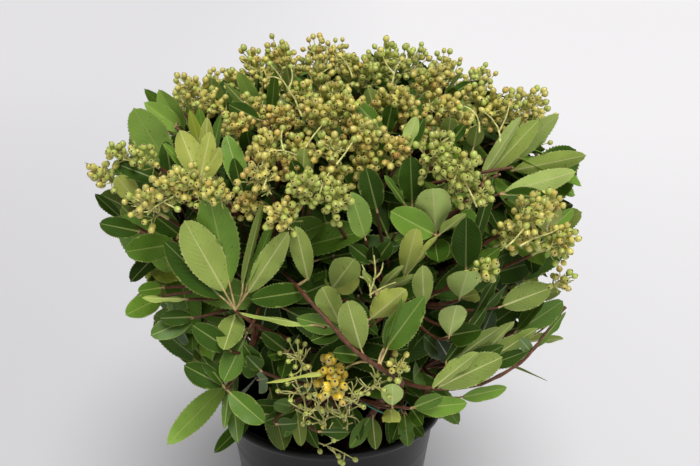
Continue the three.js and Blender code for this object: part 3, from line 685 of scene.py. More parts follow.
class Bunch:
    """All that grows: leaves by tone, their stalks, twigs, berries by colour and the berries' stalks."""

    def __init__(self, seed, kept_clear):
        self.random = random.Random(seed)
        self.leaves = {tone: [] for tone in TONES}
        self.petioles = []
        self.twigs = []
        self.berries = {}
        self.fruit_stalks = {"thick": [], "thin": []}
        self.room = Room(ROOM_CELL)
        self.kept_clear = np.array(kept_clear)

    def between(self, low, high):
        return self.random.uniform(low, high)

    def keep_clear(self, points):
        self.kept_clear = np.concatenate([self.kept_clear, points])

    def is_in_the_way(self, samples):
        """True where one of the samples stands before a point that is kept clear, seen from the front."""
        apart = np.asarray(samples)[:, None] - self.kept_clear[None]
        before = apart @ TOWARDS_FRONT
        aside = np.linalg.norm(apart - before[:, :, None] * TOWARDS_FRONT, axis=2)
        return bool(((before > -GIVEN_DEPTH) & (aside < GIVEN_ASIDE)).any())

    def has_room(self, tip, samples, gap):
        return is_inside(tip) and not self.is_in_the_way(samples) and self.room.is_free(samples, gap)

    def add_leaf(self, foot, root, heading, face, length, width, tone, given=False, oval=0.0):
        """A leaf and its stalk, where there is room. Tells whether there was."""
        aside = np.cross(face, heading) * width
        samples = [root + heading * length * share for share in (0.3, 0.55, 0.8, 1)]
        tip = samples[-1] + UP * TIP_BELOW_SURFACE
        for share, out in ((0.6, 0.3), (0.35, 0.34), (0.8, 0.3))[:3 if given else 1]:
            samples += [root + heading * length * share + aside * way for way in (-out, out)]
        if not given and not self.has_room(tip, samples, LEAF_GAP):
            return False
        self.room.take(samples)
        if given:
            self.keep_clear(samples)
        shape = {key: self.between(*limits) for key, limits in LEAF_RANGES.items()}
        shape["base"] -= 0.28 * oval
        shape["point"] -= 0.16 * oval
        shape["curl"] = shape["curl"] * (0.2 if given else 1) or 0.1
        shape["twist"] *= 0.5 if given else 1
        place = {"root": root, "heading": heading, "face": face, "length": length, "width": width}
        self.leaves[tone].append(place | shape)
        middle = mix(foot, root, 0.55) - 0.18 * np.linalg.norm(root - foot) * face
        self.petioles.append(bend_through(foot, middle, root + heading * length * 0.04, 3))
        return True

    def add_head(self, middle, axis, radius, kind, fullness, given=False):
        """A head of berries on a stalk that forks, where there is room. Tells whether there was."""
        if not given and not self.has_room(middle + axis * radius * 1.1, [middle], radius * 1.2):
            return False
        style = HEADS["shed" if fullness < SHED_BELOW else "given" if given else "seeded"]
        low = middle - axis * radius * 1.15
        main = bend_through(low, low + axis * radius * 0.8, middle + axis * radius * 0.15, 4)
        self.fruit_stalks["thick"].append((evenly(main, 5), *HEAD_STALK_RADII))
        first_turn = self.between(0, 2 * math.pi)
        for fork in range(style["forks"] + 1):
            share = min(0.25 + 0.75 * fork / style["forks"], 1)
            root = point_at(main, share * 0.98)
            lean = mix(1.35, 0.25, share) if fork < style["forks"] else 0.05
            turn = first_turn + fork * GOLDEN_ANGLE
            out = unit(leaning(axis, lean, turn))
            reach = max(radius - 8, 5) * (1.2 - 0.3 * share) * self.between(0.75, 1.2) * style["reach"]
            sideways = np.cross(out, axis) * reach * self.between(-0.5, 0.5)
            end = root + out * reach + axis * reach * 0.2
            arm = bend_through(root, root + out * reach * 0.5 + sideways, end, 3)
            self.fruit_stalks["thick"].append((evenly(arm, 5), *style["radii"]))
            count = max(2, round(reach / style["apart"]))
            for i in range(count + 1):
                along = mix(0.36, 1, i / count)
                aside = leaning(heading_at(arm, along), 1.15 if i < count else 0.1, i * 2.2 + turn)
                bare = self.random.random() > fullness
                stalk = self.between(*style["stalks"])
                outward = unit(aside + 0.35 * axis)
                self.add_berry(point_at(arm, along), outward, stalk, kind, bare, style["berry"])
        self.room.take([middle, middle - axis * radius * 0.6])
        if given:
            first, second = sides_of(axis)
            ring = [middle + radius * 0.62 * (math.cos(t) * first + math.sin(t) * second) for t in range(6)]
            self.keep_clear([middle, *ring])
        return True

    def add_berry(self, root, out, stalk, kind, bare=False, size=None):
        """A berry at the end of its stalk, or a bare stalk."""
        size = size or self.between(*BERRY_RADII) * (RIPE_BERRY_GROWTH if kind == "ripe" else 1)
        tip = root + out * stalk
        middle = mix(root, tip, 0.5)
        bend = np.cross(out, UP) * stalk * self.between(-0.2, 0.2)
        if stalk > LONG_STALK:
            path = bend_through(root, middle + 2.5 * bend, tip, 4)
            self.fruit_stalks["thick"].append((path, *BERRY_STALK_RADII))
        else:
            path = np.array([root, middle + bend, tip])
            self.fruit_stalks["thin"].append((path, *BERRY_STALK_RADII))
        if bare:
            return
        chance = self.random.random()
        for tone, share in BERRY_TONES[kind]:
            if chance < share:
                break
            chance -= share
        self.berries.setdefault(tone, []).append((tip + out * size * 0.8, out, size, self.between(1.0, 1.12)))


def is_inside(point):
    """True inside the crown. It is lower at its sides, slimmer at its foot, and clear of the rim in front."""
    if point[1] < RIM_CLEARANCE["before"] and point[2] < RIM_CLEARANCE["below"]:
        return False
    aside, height = point[0] - CROWN["aside"], point[2] - CROWN["middle"]
    left = min(max(-aside / CROWN["radius"], 0), 1)
    right = min(max(aside / CROWN["radius"], 0), 1)
    low = min(max(-height / CROWN_SIDES["over"], 0), 1)
    drawn_in = (CROWN_SIDES["left"] * left + CROWN_SIDES["right"] * right) * low
    radius = CROWN["radius"] * (1 - drawn_in - CROWN_SIDES["both"] * (left + right))
    slope = 1 - CROWN_SIDES["left_slope"] * left - CROWN_SIDES["right_slope"] * right
    reach = CROWN["above"] * slope if height > 0 else CROWN["below"]
    out, power = math.hypot(aside, point[1]), CROWN["power"]
    return (out / radius) ** power + (abs(height) / reach) ** power <= 1


# Berries
def berry_form():
    """A berry of unit radius whose stalk enters below, with a small sunk ring of dry tips on top."""
    work = bmesh.new()
    bmesh.ops.create_uvsphere(work, u_segments=8, v_segments=6, radius=1)
    crown = [vertex for vertex in work.verts if vertex.co.z > 0.8]
    for vertex in crown:
        pole = abs(vertex.co.x) + abs(vertex.co.y) < 0.01
        vertex.co = (vertex.co.x * 0.82, vertex.co.y * 0.82, 0.76 if pole else 0.98)
    cap = [face for face in work.faces if all(vertex in crown for vertex in face.verts)]
    for face in cap:
        face.material_index = 1
    rim = bmesh.ops.inset_region(work, faces=cap, thickness=0.11, depth=-0.03)["faces"]
    for face in rim:
        face.material_index = 2
    for edge in work.edges:
        edge.smooth = len({face.material_index for face in edge.link_faces}) == 1
    return Form(work)


def berry_points(form, berries):
    points = np.empty((len(berries), len(form.points), 3))
    for i, (middle, axis, size, tall) in enumerate(berries):
        first, second = sides_of(axis)
        basis = np.array([first * size, second * size, axis * size * tall])
        points[i] = middle + form.points @ basis
    return points


# Limbs: each has a path and the radius of its foot
def stem(ring, degrees, tip):
    foot = around(ring["floor"], degrees - BUNCH_TWIST, BUCKET["floor"] + GAP)
    tie = around(ring["tie"], degrees, TIE["height"])
    rise = unit(tie - foot)
    upper = bend_through(tie, tie + rise * 0.45 * np.linalg.norm(tip - tie), tip, 24)
    straight = mix(foot, tie, np.linspace(0, 1, 24)[:-1, None])
    return {"path": np.concatenate([straight, upper]), "upper": upper, "radius": ring["radius"]}


def bough(parent, share, tip):
    root = point_at(parent["upper"], share)
    start = unit(mix(heading_at(parent["upper"], share), unit(tip - root), 0.6))
    path = bend_through(root, root + start * 0.5 * np.linalg.norm(tip - root), tip, 12)
    return {"path": path, "radius": BOUGH_RADIUS}


def mass_middles(name):
    ring = RINGS[name]
    turns = [ring["turn"] + 360 * i / ring["count"] for i in range(ring["count"])]
    return [around(ring["out"], turn, ring["height"]) for turn in turns]


def limb_tip(middle, start, name):
    return middle - unit(middle - start) * (RINGS[name]["depth"] + RINGS[name]["shoot"])


def grow_limbs():
    """Stems, a bough on each but the middle one, and a mass of foliage with its shoot on each limb."""
    stems, boughs, masses = [], [], []
    wide, low, upper = (mass_middles(name) for name in ("wide", "low", "upper"))
    outer = (OUTER_STEMS, "wide", wide, "low", low)
    inner = (INNER_STEMS, "upper", upper[::2], "upper", upper[1::2])
    for ring, first, first_middles, second, second_middles in (outer, inner):
        for i in range(ring["count"]):
            degrees = ring["turn"] + 360 * i / ring["count"]
            lean = around(ring["tie"], degrees, TIE["height"] + ring["lean"])
            carrier = stem(ring, degrees, limb_tip(first_middles[i], lean, first))
            fork = point_at(carrier["upper"], ring["fork"])
            side = bough(carrier, ring["fork"], limb_tip(second_middles[i], fork, second))
            stems.append(carrier)
            boughs.append(side)
            masses.append({"ring": first, "middle": first_middles[i], "carrier": carrier})
            masses.append({"ring": second, "middle": second_middles[i], "carrier": side})
    top = mass_middles("top")[0]
    stems.append(stem(MIDDLE_STEM, 0, limb_tip(top, np.zeros(3), "top")))
    masses.append({"ring": "top", "middle": top, "carrier": stems[-1]})
    for mass in masses:
        forward = heading_at(mass["carrier"]["path"], 1)
        root = mass["carrier"]["path"][-1] + forward * GAP
        mass["shoot"] = np.linspace(root, root + forward * RINGS[mass["ring"]]["shoot"], 5)
    return stems, boughs, masses


def spray_ends(sprays):
    """Where sprays end, on a spiral lattice that lies inside the crown's surface."""
    for i in range(sprays["count"]):
        cosine = mix(sprays["top"], sprays["bottom"], ((i + 0.5) / sprays["count"]) ** sprays["crowding"])
        sine = math.sqrt(1 - cosine * cosine)
        turn = i * GOLDEN_ANGLE
        reach = (sine ** CROWN["power"] + abs(cosine) ** CROWN["power"]) ** (-1 / CROWN["power"])
        tall = CROWN["above"] if cosine > 0 else CROWN["below"]
        surface = reach * np.array([
            CROWN["radius"] * sine * math.cos(turn),
            CROWN["radius"] * sine * math.sin(turn),
            tall * cosine,
        ])
        yield CROWN_MIDDLE + unit(surface) * (np.linalg.norm(surface) - sprays["depth"])


def nearest_mass(masses, point):
    return min(masses, key=lambda mass: np.linalg.norm(point - mass["middle"]))


def twig_to(mass, end, axis, share):
    """A twig that leaves its mass's shoot and comes to its end along an axis."""
    root = point_at(mass["shoot"], share)
    length = np.linalg.norm(end - root)
    return evenly(bend_through(root, end - axis * 0.45 * length, end, 12), 9)


def spray_axis(end):
    """Sprays point outwards and up, and the lowest ones a little down."""
    out = unit(end - np.array([0, 0, min(end[2] - 20, CROWN["middle"] - 40)]))
    return unit(out + UP * np.interp(end[2], *SPRAY_RISE))


def outwards(point):
    """The direction to a point from below its level on the bunch's axis."""
    return unit(point - np.array([0, 0, point[2] - OUTWARD_DROP]))


def add_seeded_head(bunch, end, axis):
    """A head of berries at the end of a spray, where there is room for one. Tells whether there was."""
    radius, kind = bunch.between(19, 28), bunch.random.choice(("olive", "olive", "fresh", "gold"))
    head_axis = unit(axis + 0.4 * UP)
    return any(bunch.add_head(end + axis * lift, head_axis, radius, kind, 0.95) for lift in (20, 12, 4))


def add_seeded_leaves(bunch, count, twig, turn, tone, bears_fruit):
    """Leaves in a spiral along the outer half of a twig, each turned on a little where it has no room."""
    for i in range(count):
        share = i / (count - 1)
        along = mix(0.5, 0.9 if bears_fruit else 1.0, share)
        lean = math.radians(mix(78, 62 if bears_fruit else 34, share)) + bunch.between(-0.15, 0.15)
        for attempt in range(4):
            heading = leaning(heading_at(twig, along), lean, turn + i * GOLDEN_ANGLE + attempt * 0.5)
            foot = point_at(twig, along)
            root = foot + heading * bunch.between(7, 12)
            face = square_part(heading_at(twig, along), heading)
            length = bunch.between(54, 80) * (0.85 if i > count - 3 else 1)
            leaf_tone = tone if bunch.random.random() < 0.75 else bunch.random.choice(TONES[:4])
            width = length * bunch.between(0.35, 0.44)
            if bunch.add_leaf(foot, root, heading, face, length, width, leaf_tone):
                break


def add_seeded_sprays(bunch, masses, sprays, is_outer):
    """Evenly spread sprays, with all their heads placed before the first leaf."""
    given = np.array([row[0] for row in (*FRONT_SPRAYS, *FRONT_HEADS)], dtype=float)
    grown = []
    for end in spray_ends(sprays):
        end = end + np.array([bunch.between(-SPRAY_SHIFT, SPRAY_SHIFT) for _ in range(3)])
        if is_outer and np.linalg.norm(given - end, axis=1).min() < APART_FROM_GIVEN:
            continue
        mass = nearest_mass(masses, end)
        axis = spray_axis(end)
        may_bear = is_outer and end[1] > FRUIT_BEHIND and bunch.random.random() < RINGS[mass["ring"]]["fruit"]
        # Painted light and shade: high outer sprays take paler tones, low ones darker tones, and inner ones
        # the darkest.
        light = "inner" if not is_outer else "sunlit" if end[2] > SUNLIT_HEIGHT else "lower"
        tone = bunch.random.choices(TONES, TONE_SHARES[light])[0]
        twig = twig_to(mass, end, axis, bunch.between(0.2, 0.98))
        bunch.twigs.append((twig, 1.7, 1.0))
        turn = bunch.between(0, 2 * math.pi)
        bears_fruit = may_bear and add_seeded_head(bunch, end, axis)
        grown.append((sprays["leaves"] - (2 if bears_fruit else 0), twig, turn, tone, bears_fruit))
    for spray in grown:
        add_seeded_leaves(bunch, *spray)


def add_front_leaf(bunch, node, feet, leaf):
    """A leaf whose tip is given, turned to the front as its length asks for. Tells which foot it is on."""
    tip, width, side, tilt, tone = leaf
    tip = np.array(tip, dtype=float)
    apart = np.linalg.norm(tip - node)
    reach = (tip - node) * (1 - max(4, (apart - 45) * 0.42) / apart)
    oval = min(max((width / np.linalg.norm(reach) - 0.45) / 0.3, 0), 1)
    length = max(np.linalg.norm(reach), width * 1.95)
    along = reach @ TOWARDS_FRONT
    reach = reach + TOWARDS_FRONT * (math.sqrt(along**2 + length**2 - reach @ reach) - along)
    heading = unit(reach)
    root = tip - reach
    nearest = min(range(len(feet)), key=lambda i: np.linalg.norm(root - feet[i]))
    foot = feet[nearest]
    facing = square_part(TOWARDS_FRONT, heading) * (1 if side == "upper" else -1)
    turn = math.radians(tilt)
    face = math.cos(turn) * facing + math.sin(turn) * np.cross(heading, facing)
    bunch.add_leaf(foot, root, heading, face, length, width, tone, given=True, oval=oval)
    bunch.keep_clear([foot, mix(foot, root, 0.5), root])
    return nearest


def add_front_sprays(bunch, masses):
    """Sprays whose places are given: on bare wood where that is near, or else on a twig of their own."""
    bare_wood = np.concatenate([rounded(points, 61) for points, _, _ in FRONT_TWIGS])
    shares = np.linspace(0.5, 1, 11)
    for node, leaves in FRONT_SPRAYS:
        node = np.array(node, dtype=float)
        tips = np.array([leaf[0] for leaf in leaves], dtype=float)
        out = unit(unit(tips.mean(axis=0) - node) + 0.6 * outwards(node))
        twig = twig_to(nearest_mass(masses, node), node, out, 0.8)
        is_on_bare_wood = np.linalg.norm(bare_wood - node, axis=1).min() < BARE_WOOD_NEAR
        feet = bare_wood if is_on_bare_wood else [point_at(twig, share) for share in shares]
        last = max(add_front_leaf(bunch, node, feet, leaf) for leaf in leaves)
        if not is_on_bare_wood:
            path = [point_at(twig, shares[last] * i / 8) for i in range(9)]
            bunch.twigs.append((np.array(path), 1.8, 1.2))


def add_front_heads(bunch, masses):
    for middle, radius, kind, fullness in FRONT_HEADS:
        middle = np.array(middle, dtype=float)
        axis = unit(outwards(middle) + 0.5 * UP)
        bunch.add_head(middle, axis, radius, kind, fullness, given=True)
        low = middle - axis * radius * 1.1
        bunch.twigs.append((twig_to(nearest_mass(masses, low), low, axis, 0.9), 1.7, 1.4))


def add_front_stalks(bunch):
    """Loose stalks: the spent ones bare, the others with a berry at the end."""
    for stalk in (*RIM_STALKS, *SPENT_STALKS, *LOOSE_STALKS):
        bunch.fruit_stalks["thick"].append((rounded(stalk, 5), *BARE_STALK_RADII))
    for stalks, kind, size in ((LOOSE_STALKS, "olive", None), (RIM_STALKS, "fresh", RIM_BERRY_RADIUS)):
        for stalk in stalks:
            root, tip = np.array(stalk[-2:], dtype=float)
            bunch.add_berry(tip, unit(tip - root), 0.1, kind, size=size)


def bark_relief(form, copies, draw, nodes=0):
    """How far a limb's bark stands out at each point: furrows, warts, swellings and a ring at each node."""
    along = form.points[:, 2] / form.points[:, 2].max()
    turn = np.arctan2(form.points[:, 1], form.points[:, 0])
    relief = np.ones((copies, len(form.points)))
    for strength, waves, turns in ((0.05, 3, 1), (0.04, 11, 2), (0.03, 27, 3), (0.025, 43, 5)):
        phase = np.array([draw.uniform(0, 2 * math.pi) for _ in range(copies)])[:, None]
        relief += strength * np.sin(2 * math.pi * along * waves + turns * turn + phase)
    rough = 0.11 if nodes else 0.03
    scatter = np.array([[draw.uniform(-rough, rough) for _ in along] for _ in range(copies)])
    rings = 0.45 * np.clip(np.cos(2 * math.pi * along * nodes), 0, 1) ** 6 if nodes else 0
    return relief + scatter + rings


# Finishes
class Signal:
    """A number that varies over a surface, with arithmetic that adds the nodes for it."""

    def __init__(self, finish, socket):
        self.finish = finish
        self.socket = socket

    def joined_by(self, operation, *values):
        node = self.finish.node("ShaderNodeMath", {"operation": operation}, dict(enumerate(values)))
        return Signal(self.finish, node.outputs[0])

    def __add__(self, other):
        return self.joined_by("ADD", self, other)

    def __sub__(self, other):
        return self.joined_by("SUBTRACT", self, other)

    def __mul__(self, other):
        return self.joined_by("MULTIPLY", self, other)

    def fraction(self):
        return self.joined_by("FRACT", self)

    def size(self):
        return self.joined_by("ABSOLUTE", self)

    def ramp(self, low, high, start=0.0, end=1.0):
        """Rises smoothly from start to end as the signal goes from low to high."""
        values = {"Value": self, "From Min": low, "From Max": high, "To Min": start, "To Max": end}
        node = self.finish.node("ShaderNodeMapRange", {"interpolation_type": "SMOOTHSTEP"}, values)
        return Signal(self.finish, node.outputs["Result"])


class Finish:
    """A material, with one way to add any node."""

    def __init__(self, name, **shader):
        self.material = bpy.data.materials.new(name)
        self.material.use_nodes = True
        self.nodes = self.material.node_tree.nodes
        self.links = self.material.node_tree.links
        self.shader = self.nodes["Principled BSDF"]
        self.set_values(self.shader, shader)

    def set_values(self, node, values):
        for key, value in values.items():
            socket = node.inputs[key]
            if isinstance(value, Signal):
                self.links.new(value.socket, socket)
            elif isinstance(value, bpy.types.NodeSocket):
                self.links.new(value, socket)
            elif isinstance(value, tuple) and len(value) == 3 and socket.type == "RGBA":
                socket.default_value = (*value, 1)
            else:
                socket.default_value = value

    def node(self, kind, settings=None, values=None):
        node = self.nodes.new(kind)
        for key, value in (settings or {}).items():
            setattr(node, key, value)
        self.set_values(node, values or {})
        return node

    def place(self):
        return self.node("ShaderNodeTexCoord").outputs["Object"]

    def stretched_place(self, scale):
        values = {"Vector": self.place(), "Scale": scale}
        return self.node("ShaderNodeMapping", None, values).outputs["Vector"]

    def surface_map(self):
        """The two directions of the piece's own map."""
        flat = self.node("ShaderNodeUVMap", {"uv_map": "surface"}).outputs["UV"]
        parts = self.node("ShaderNodeSeparateXYZ", None, {"Vector": flat})
        return Signal(self, parts.outputs["X"]), Signal(self, parts.outputs["Y"])

    def noise(self, place, scale, detail=3.0, roughness=0.55):
        values = {"Vector": place, "Scale": scale, "Detail": detail, "Roughness": roughness}
        return Signal(self, self.node("ShaderNodeTexNoise", None, values).outputs["Fac"])

    def blend(self, share, first, second):
        """A mix of two colours. Its sockets are told apart by number, because their names are used twice."""
        node = self.node("ShaderNodeMix", {"data_type": "RGBA"}, {0: share, 6: first, 7: second})
        return node.outputs[2]

    def relief(self, height, strength, distance):
        values = {"Height": height, "Strength": strength, "Distance": distance}
        self.set_values(self.shader, {"Normal": self.node("ShaderNodeBump", None, values).outputs["Normal"]})

    def wear(self, **values):
        names = {"base_color": "Base Color", "roughness": "Roughness"}
        self.set_values(self.shader, {names[key]: value for key, value in values.items()})


def shade(*seen):
    """A colour as seen, with each part from 0 to 255, made linear."""
    return tuple(((part / 255 + 0.055) / 1.055) ** 2.4 if part > 10 else part / 255 / 12.92 for part in seen)


def darker(colour, share):
    return tuple(value * share for value in colour)


# Colours as seen. Each tone of leaf has one for its upper side and one for its underside.
LEAF_COLOURS = {
    # The deep tone is partly painted shade: it darkens the leaves inside the crown for the shade there, as
    # well as being the darker colour of older leaves.
    "deep": ((36, 56, 16), (58, 74, 28)),
    "dark": ((52, 80, 20), (96, 118, 48)),
    "mid": ((82, 116, 34), (124, 144, 64)),
    "fresh": ((106, 143, 46), (150, 170, 80)),
    "olive": ((146, 160, 52), (172, 182, 84)),
    # The pale tone is painted light: a lighter copy of the fresh tone, given to leaves that show brightly
    # lit.
    "pale": ((134, 168, 72), (174, 196, 108)),
}
BERRY_COLOURS = {
    "green": (180, 194, 94),
    "olive": (212, 204, 106),
    "gold": (214, 188, 96),
    "yellow": (236, 204, 60),
    "orange": (204, 144, 66),
}
BERRY_BLUSH = (136, 106, 60)
RIB_COLOURS = ((206, 206, 124), (224, 220, 160))
# Gloss, as an index of refraction, and roughness of the upper side. The darkest tones are duller.
LEAF_GLOSS = {"deep": (1.08, 0.5), "dark": (1.2, 0.45), "mid": (1.34, 0.42), "fresh": (1.34, 0.42),
              "olive": (1.34, 0.42), "pale": (1.34, 0.42)}


def leaf_side_finish(name, colour, vein, roughness, vein_depth, vein_colour, gloss):
    """One side of a leaf: its flesh, faint side veins, dark specks and a paler toothed margin."""
    finish = Finish(name, IOR=gloss)
    along, across = finish.surface_map()
    out = across.size()
    place = finish.place()
    wander = finish.noise(place, 60.0, 1.0) * 0.5
    curve = (along - out * 0.16 - out * out * 0.1) * 13.0 + wander
    beside_rib = out.ramp(0.5, 0.95, 1.0, 0.0)
    line = (curve.fraction() - 0.5).size().ramp(0.0, 0.14, 1.0, 0.0) * beside_rib
    patches = finish.noise(place, 26.0, 2.0)
    grain = finish.noise(place, 900.0, 2.0)
    specks = finish.noise(place, 420.0, 1.0).ramp(0.69, 0.74)
    flesh = finish.blend(patches.ramp(0.3, 0.72), darker(colour, 0.86), darker(colour, 1.12))
    veined = finish.blend(line * vein_colour, flesh, vein)
    rimmed = finish.blend(out.ramp(0.93, 1.0) * 0.5, veined, vein)
    speckled = finish.blend(specks * 0.55, rimmed, darker(colour, 0.3))
    dulled = patches.ramp(0.2, 0.8, roughness - 0.06, roughness + 0.08)
    finish.wear(base_color=speckled, roughness=dulled)
    finish.relief(grain * 0.25 + line * vein_depth, 0.5, 0.0004)
    return finish.material


def leaf_rib_finish(name, colour):
    finish = Finish(name, Roughness=0.45)
    place = finish.place()
    mottle = finish.noise(place, 120.0).ramp(0.3, 0.7)
    finish.wear(base_color=finish.blend(mottle, darker(colour, 0.88), colour))
    finish.relief(finish.noise(place, 700.0), 0.2, 0.0003)
    return finish.material


def leaf_finishes(tone):
    """Both sides of a leaf, and its rib on both, whose colour goes some way from the leaf's to its own."""
    above, below = (shade(*colour) for colour in LEAF_COLOURS[tone])
    ribs = zip(np.array(LEAF_COLOURS[tone]), np.array(RIB_COLOURS), (0.42, 0.62))
    rib_above, rib_below = (shade(*mix(leaf, rib, share)) for leaf, rib, share in ribs)
    gloss, roughness = LEAF_GLOSS[tone]
    return (
        leaf_side_finish(f"leaf_upper_side_{tone}", above, rib_above, roughness, -0.6, 0.16, gloss),
        leaf_side_finish(f"leaf_underside_{tone}", below, rib_below, 0.58, 0.8, 0.24, gloss),
        leaf_rib_finish(f"leaf_rib_above_{tone}", rib_above),
        leaf_rib_finish(f"leaf_rib_below_{tone}", rib_below),
    )


def berry_skin_finish(tone):
    finish = Finish(f"berry_skin_{tone}", **{"Specular IOR Level": 0.6})
    place = finish.place()
    colour = shade(*BERRY_COLOURS[tone])
    blush = finish.noise(place, 60.0, 2.0).ramp(0.35, 0.7)
    specks = finish.noise(place, 700.0, 2.0).ramp(0.6, 0.75)
    brown = mix(np.array(colour), np.array(shade(*BERRY_BLUSH)), 0.32)
    skin = finish.blend(blush, tuple(brown), darker(colour, 1.08))
    speckled = finish.blend(specks * 0.3, skin, darker(colour, 0.45))
    finish.wear(base_color=speckled, roughness=specks.ramp(0, 1, 0.28, 0.5))
    finish.relief(finish.noise(place, 500.0), 0.15, 0.0004)
    return finish.material


def plain_growth_finish(name, colour, roughness, scale):
    """A stalk, a berry's dry tips or thin bark: mottled, and slightly rough."""
    finish = Finish(name)
    place = finish.place()
    mottle = finish.noise(place, scale, 4.0)
    finish.wear(
        base_color=finish.blend(mottle.ramp(0.34, 0.66), darker(colour, 0.6), darker(colour, 1.25)),
        roughness=mottle.ramp(0.2, 0.8, roughness - 0.08, roughness + 0.1),
    )
    finish.relief(mottle, 0.35, 0.0005)
    return finish.material


def bark_finish():
    """Smooth red-brown bark with greyer patches and small pale warts."""
    finish = Finish("bark", **{"Specular IOR Level": 0.4})
    fine = finish.noise(finish.stretched_place((260.0, 260.0, 60.0)), 1.0, 5.0)
    patches = finish.noise(finish.place(), 34.0, 3.0)
    warts = finish.noise(finish.place(), 520.0, 1.0).ramp(0.68, 0.75)
    brown, grey, pale = shade(90, 57, 40), shade(96, 80, 66), shade(140, 114, 90)
    base = finish.blend(patches.ramp(0.42, 0.66), brown, grey)
    streaked = finish.blend(fine.ramp(0.3, 0.75), darker(shade(76, 42, 32), 0.8), base)
    warty = finish.blend(warts * 0.6, streaked, pale)
    finish.wear(base_color=warty, roughness=fine.ramp(0.2, 0.8, 0.42, 0.68))
    finish.relief(fine + warts * 0.8, 0.5, 0.0008)
    return finish.material


def bucket_finish():
    """Black plastic, satin, with faint rubbed streaks round it and fine scratches down it."""
    finish = Finish("bucket_plastic", **{"Specular IOR Level": 0.32})
    streaks = finish.noise(finish.stretched_place((4.0, 4.0, 95.0)), 1.0, 5.0)
    scratches = finish.noise(finish.stretched_place((420.0, 420.0, 9.0)), 1.0, 4.0).ramp(0.6, 0.78)
    dust = finish.noise(finish.place(), 640.0, 2.0).ramp(0.66, 0.78)
    black, worn, dusty = shade(11, 11, 13), shade(26, 27, 29), shade(74, 74, 70)
    rubbed = finish.blend(scratches * 0.35 + streaks.ramp(0.5, 0.8) * 0.2, black, worn)
    dulled = streaks.ramp(0.25, 0.75, 0.34, 0.46) + scratches * 0.12
    finish.wear(base_color=finish.blend(dust * 0.2, rubbed, dusty), roughness=dulled)
    finish.relief(streaks * 0.5 + scratches * 0.2, 0.1, 0.0006)
    return finish.material


def water_finish():
    """Still, dark water with a little floating dust."""
    finish = Finish("water", IOR=1.33)
    ripples = finish.noise(finish.place(), 30.0, 2.0)
    dust = finish.noise(finish.place(), 420.0, 2.0).ramp(0.66, 0.74)
    dusty = finish.blend(dust * 0.5, shade(40, 46, 34), shade(110, 112, 84))
    finish.wear(base_color=dusty, roughness=dust.ramp(0, 1, 0.05, 0.4))
    finish.relief(ripples, 0.12, 0.002)
    return finish.material


def tie_finish():
    """Thin turquoise-green elastic, with the fine ribs of its twist."""
    finish = Finish("tie", Roughness=0.5)
    ribs = (finish.surface_map()[1] * 240.0).fraction()
    colour = shade(66, 150, 122)
    finish.wear(base_color=finish.blend(ribs.ramp(0.1, 0.9), darker(colour, 0.7), colour))
    finish.relief(ribs, 0.4, 0.0004)
    return finish.material


# Bucket, water and tie
def wall_radius(height):
    return mix(BUCKET["foot"], BUCKET["top"], height / (BUCKET["height"] - BUCKET["rim_band"]))


def arc(middle, radius, start, end, steps):
    turns = [math.radians(mix(start, end, i / steps)) for i in range(steps + 1)]
    return [(middle[0] + radius * math.cos(t), middle[1] + radius * math.sin(t)) for t in turns]


def turned(name, profile, finish):
    """A round piece, spun from a profile of (radius, height) that starts and ends on the axis."""
    work = bmesh.new()
    points = [work.verts.new((out * MM, 0, height * MM)) for out, height in profile]
    edges = [work.edges.new(pair) for pair in zip(points, points[1:])]
    bmesh.ops.spin(work, geom=points + edges, cent=(0, 0, 0), axis=(0, 0, 1), angle=2 * math.pi,
                   steps=TURNED_STEPS, use_merge=True)
    bmesh.ops.remove_doubles(work, verts=work.verts, dist=1e-6)
    bmesh.ops.recalc_face_normals(work, faces=work.faces)
    for face in work.faces:
        face.smooth = True
    for edge in work.edges:
        edge.smooth = edge.calc_face_angle(0) < math.radians(40)
    mesh = bpy.data.meshes.new(name)
    work.to_mesh(mesh)
    work.free()
    mesh.materials.append(finish)
    return placed(name, mesh)


def bucket():
    """A tapered wall on a foot ring, a cove under a rolled lip, and the same wall again inside."""
    height, rim, top, foot, wall = (BUCKET[key] for key in ("height", "rim", "top", "foot", "wall"))
    neck = height - BUCKET["rim_band"]
    lip = 4.2
    profile = [
        (0, 1.2),
        (foot - 9, 1.2),
        (foot - 7.5, 0),
        *arc((foot - 2, 2), 2, -90, -8, 5),
        (wall_radius(30), 30),
        (wall_radius(110), 110),
        (wall_radius(neck - 12), neck - 12),
        (top - 0.1, neck - 2),
        *arc((top + 6.5, neck - 0.4), 6, 175, 98, 6)[1:],
        *arc((rim - lip, height - lip), lip, -62, 90, 12),
        *arc((rim - lip - 1.2, height - lip + 0.2), lip - 0.2, 96, 165, 6),
        (top + 1.4, height - 7),
        (top - 0.8, neck + 1),
        (wall_radius(neck - 8) - wall, neck - 8),
        (wall_radius(110) - wall, 110),
        (wall_radius(10) - wall, 10),
        *arc((wall_radius(6) - wall - 3, BUCKET["floor"] + 3), 3, -5, -90, 4),
        (0, BUCKET["floor"]),
    ]
    return turned("bucket_shell", profile, bucket_finish())


def water():
    """The surface rises a little where it meets the wall."""
    bottom = BUCKET["floor"] + GAP
    inner = [wall_radius(level) - BUCKET["wall"] - GAP for level in (bottom, WATER_LEVEL)]
    profile = [
        (0, bottom),
        (inner[0] - 3.4, bottom),
        (inner[0] - 0.4, bottom + 3.2),
        (inner[1], WATER_LEVEL + 0.6),
        (inner[1] - 1, WATER_LEVEL + 0.2),
        (inner[1] - 3, WATER_LEVEL),
        (0, WATER_LEVEL),
    ]
    return turned("water_surface", profile, water_finish())


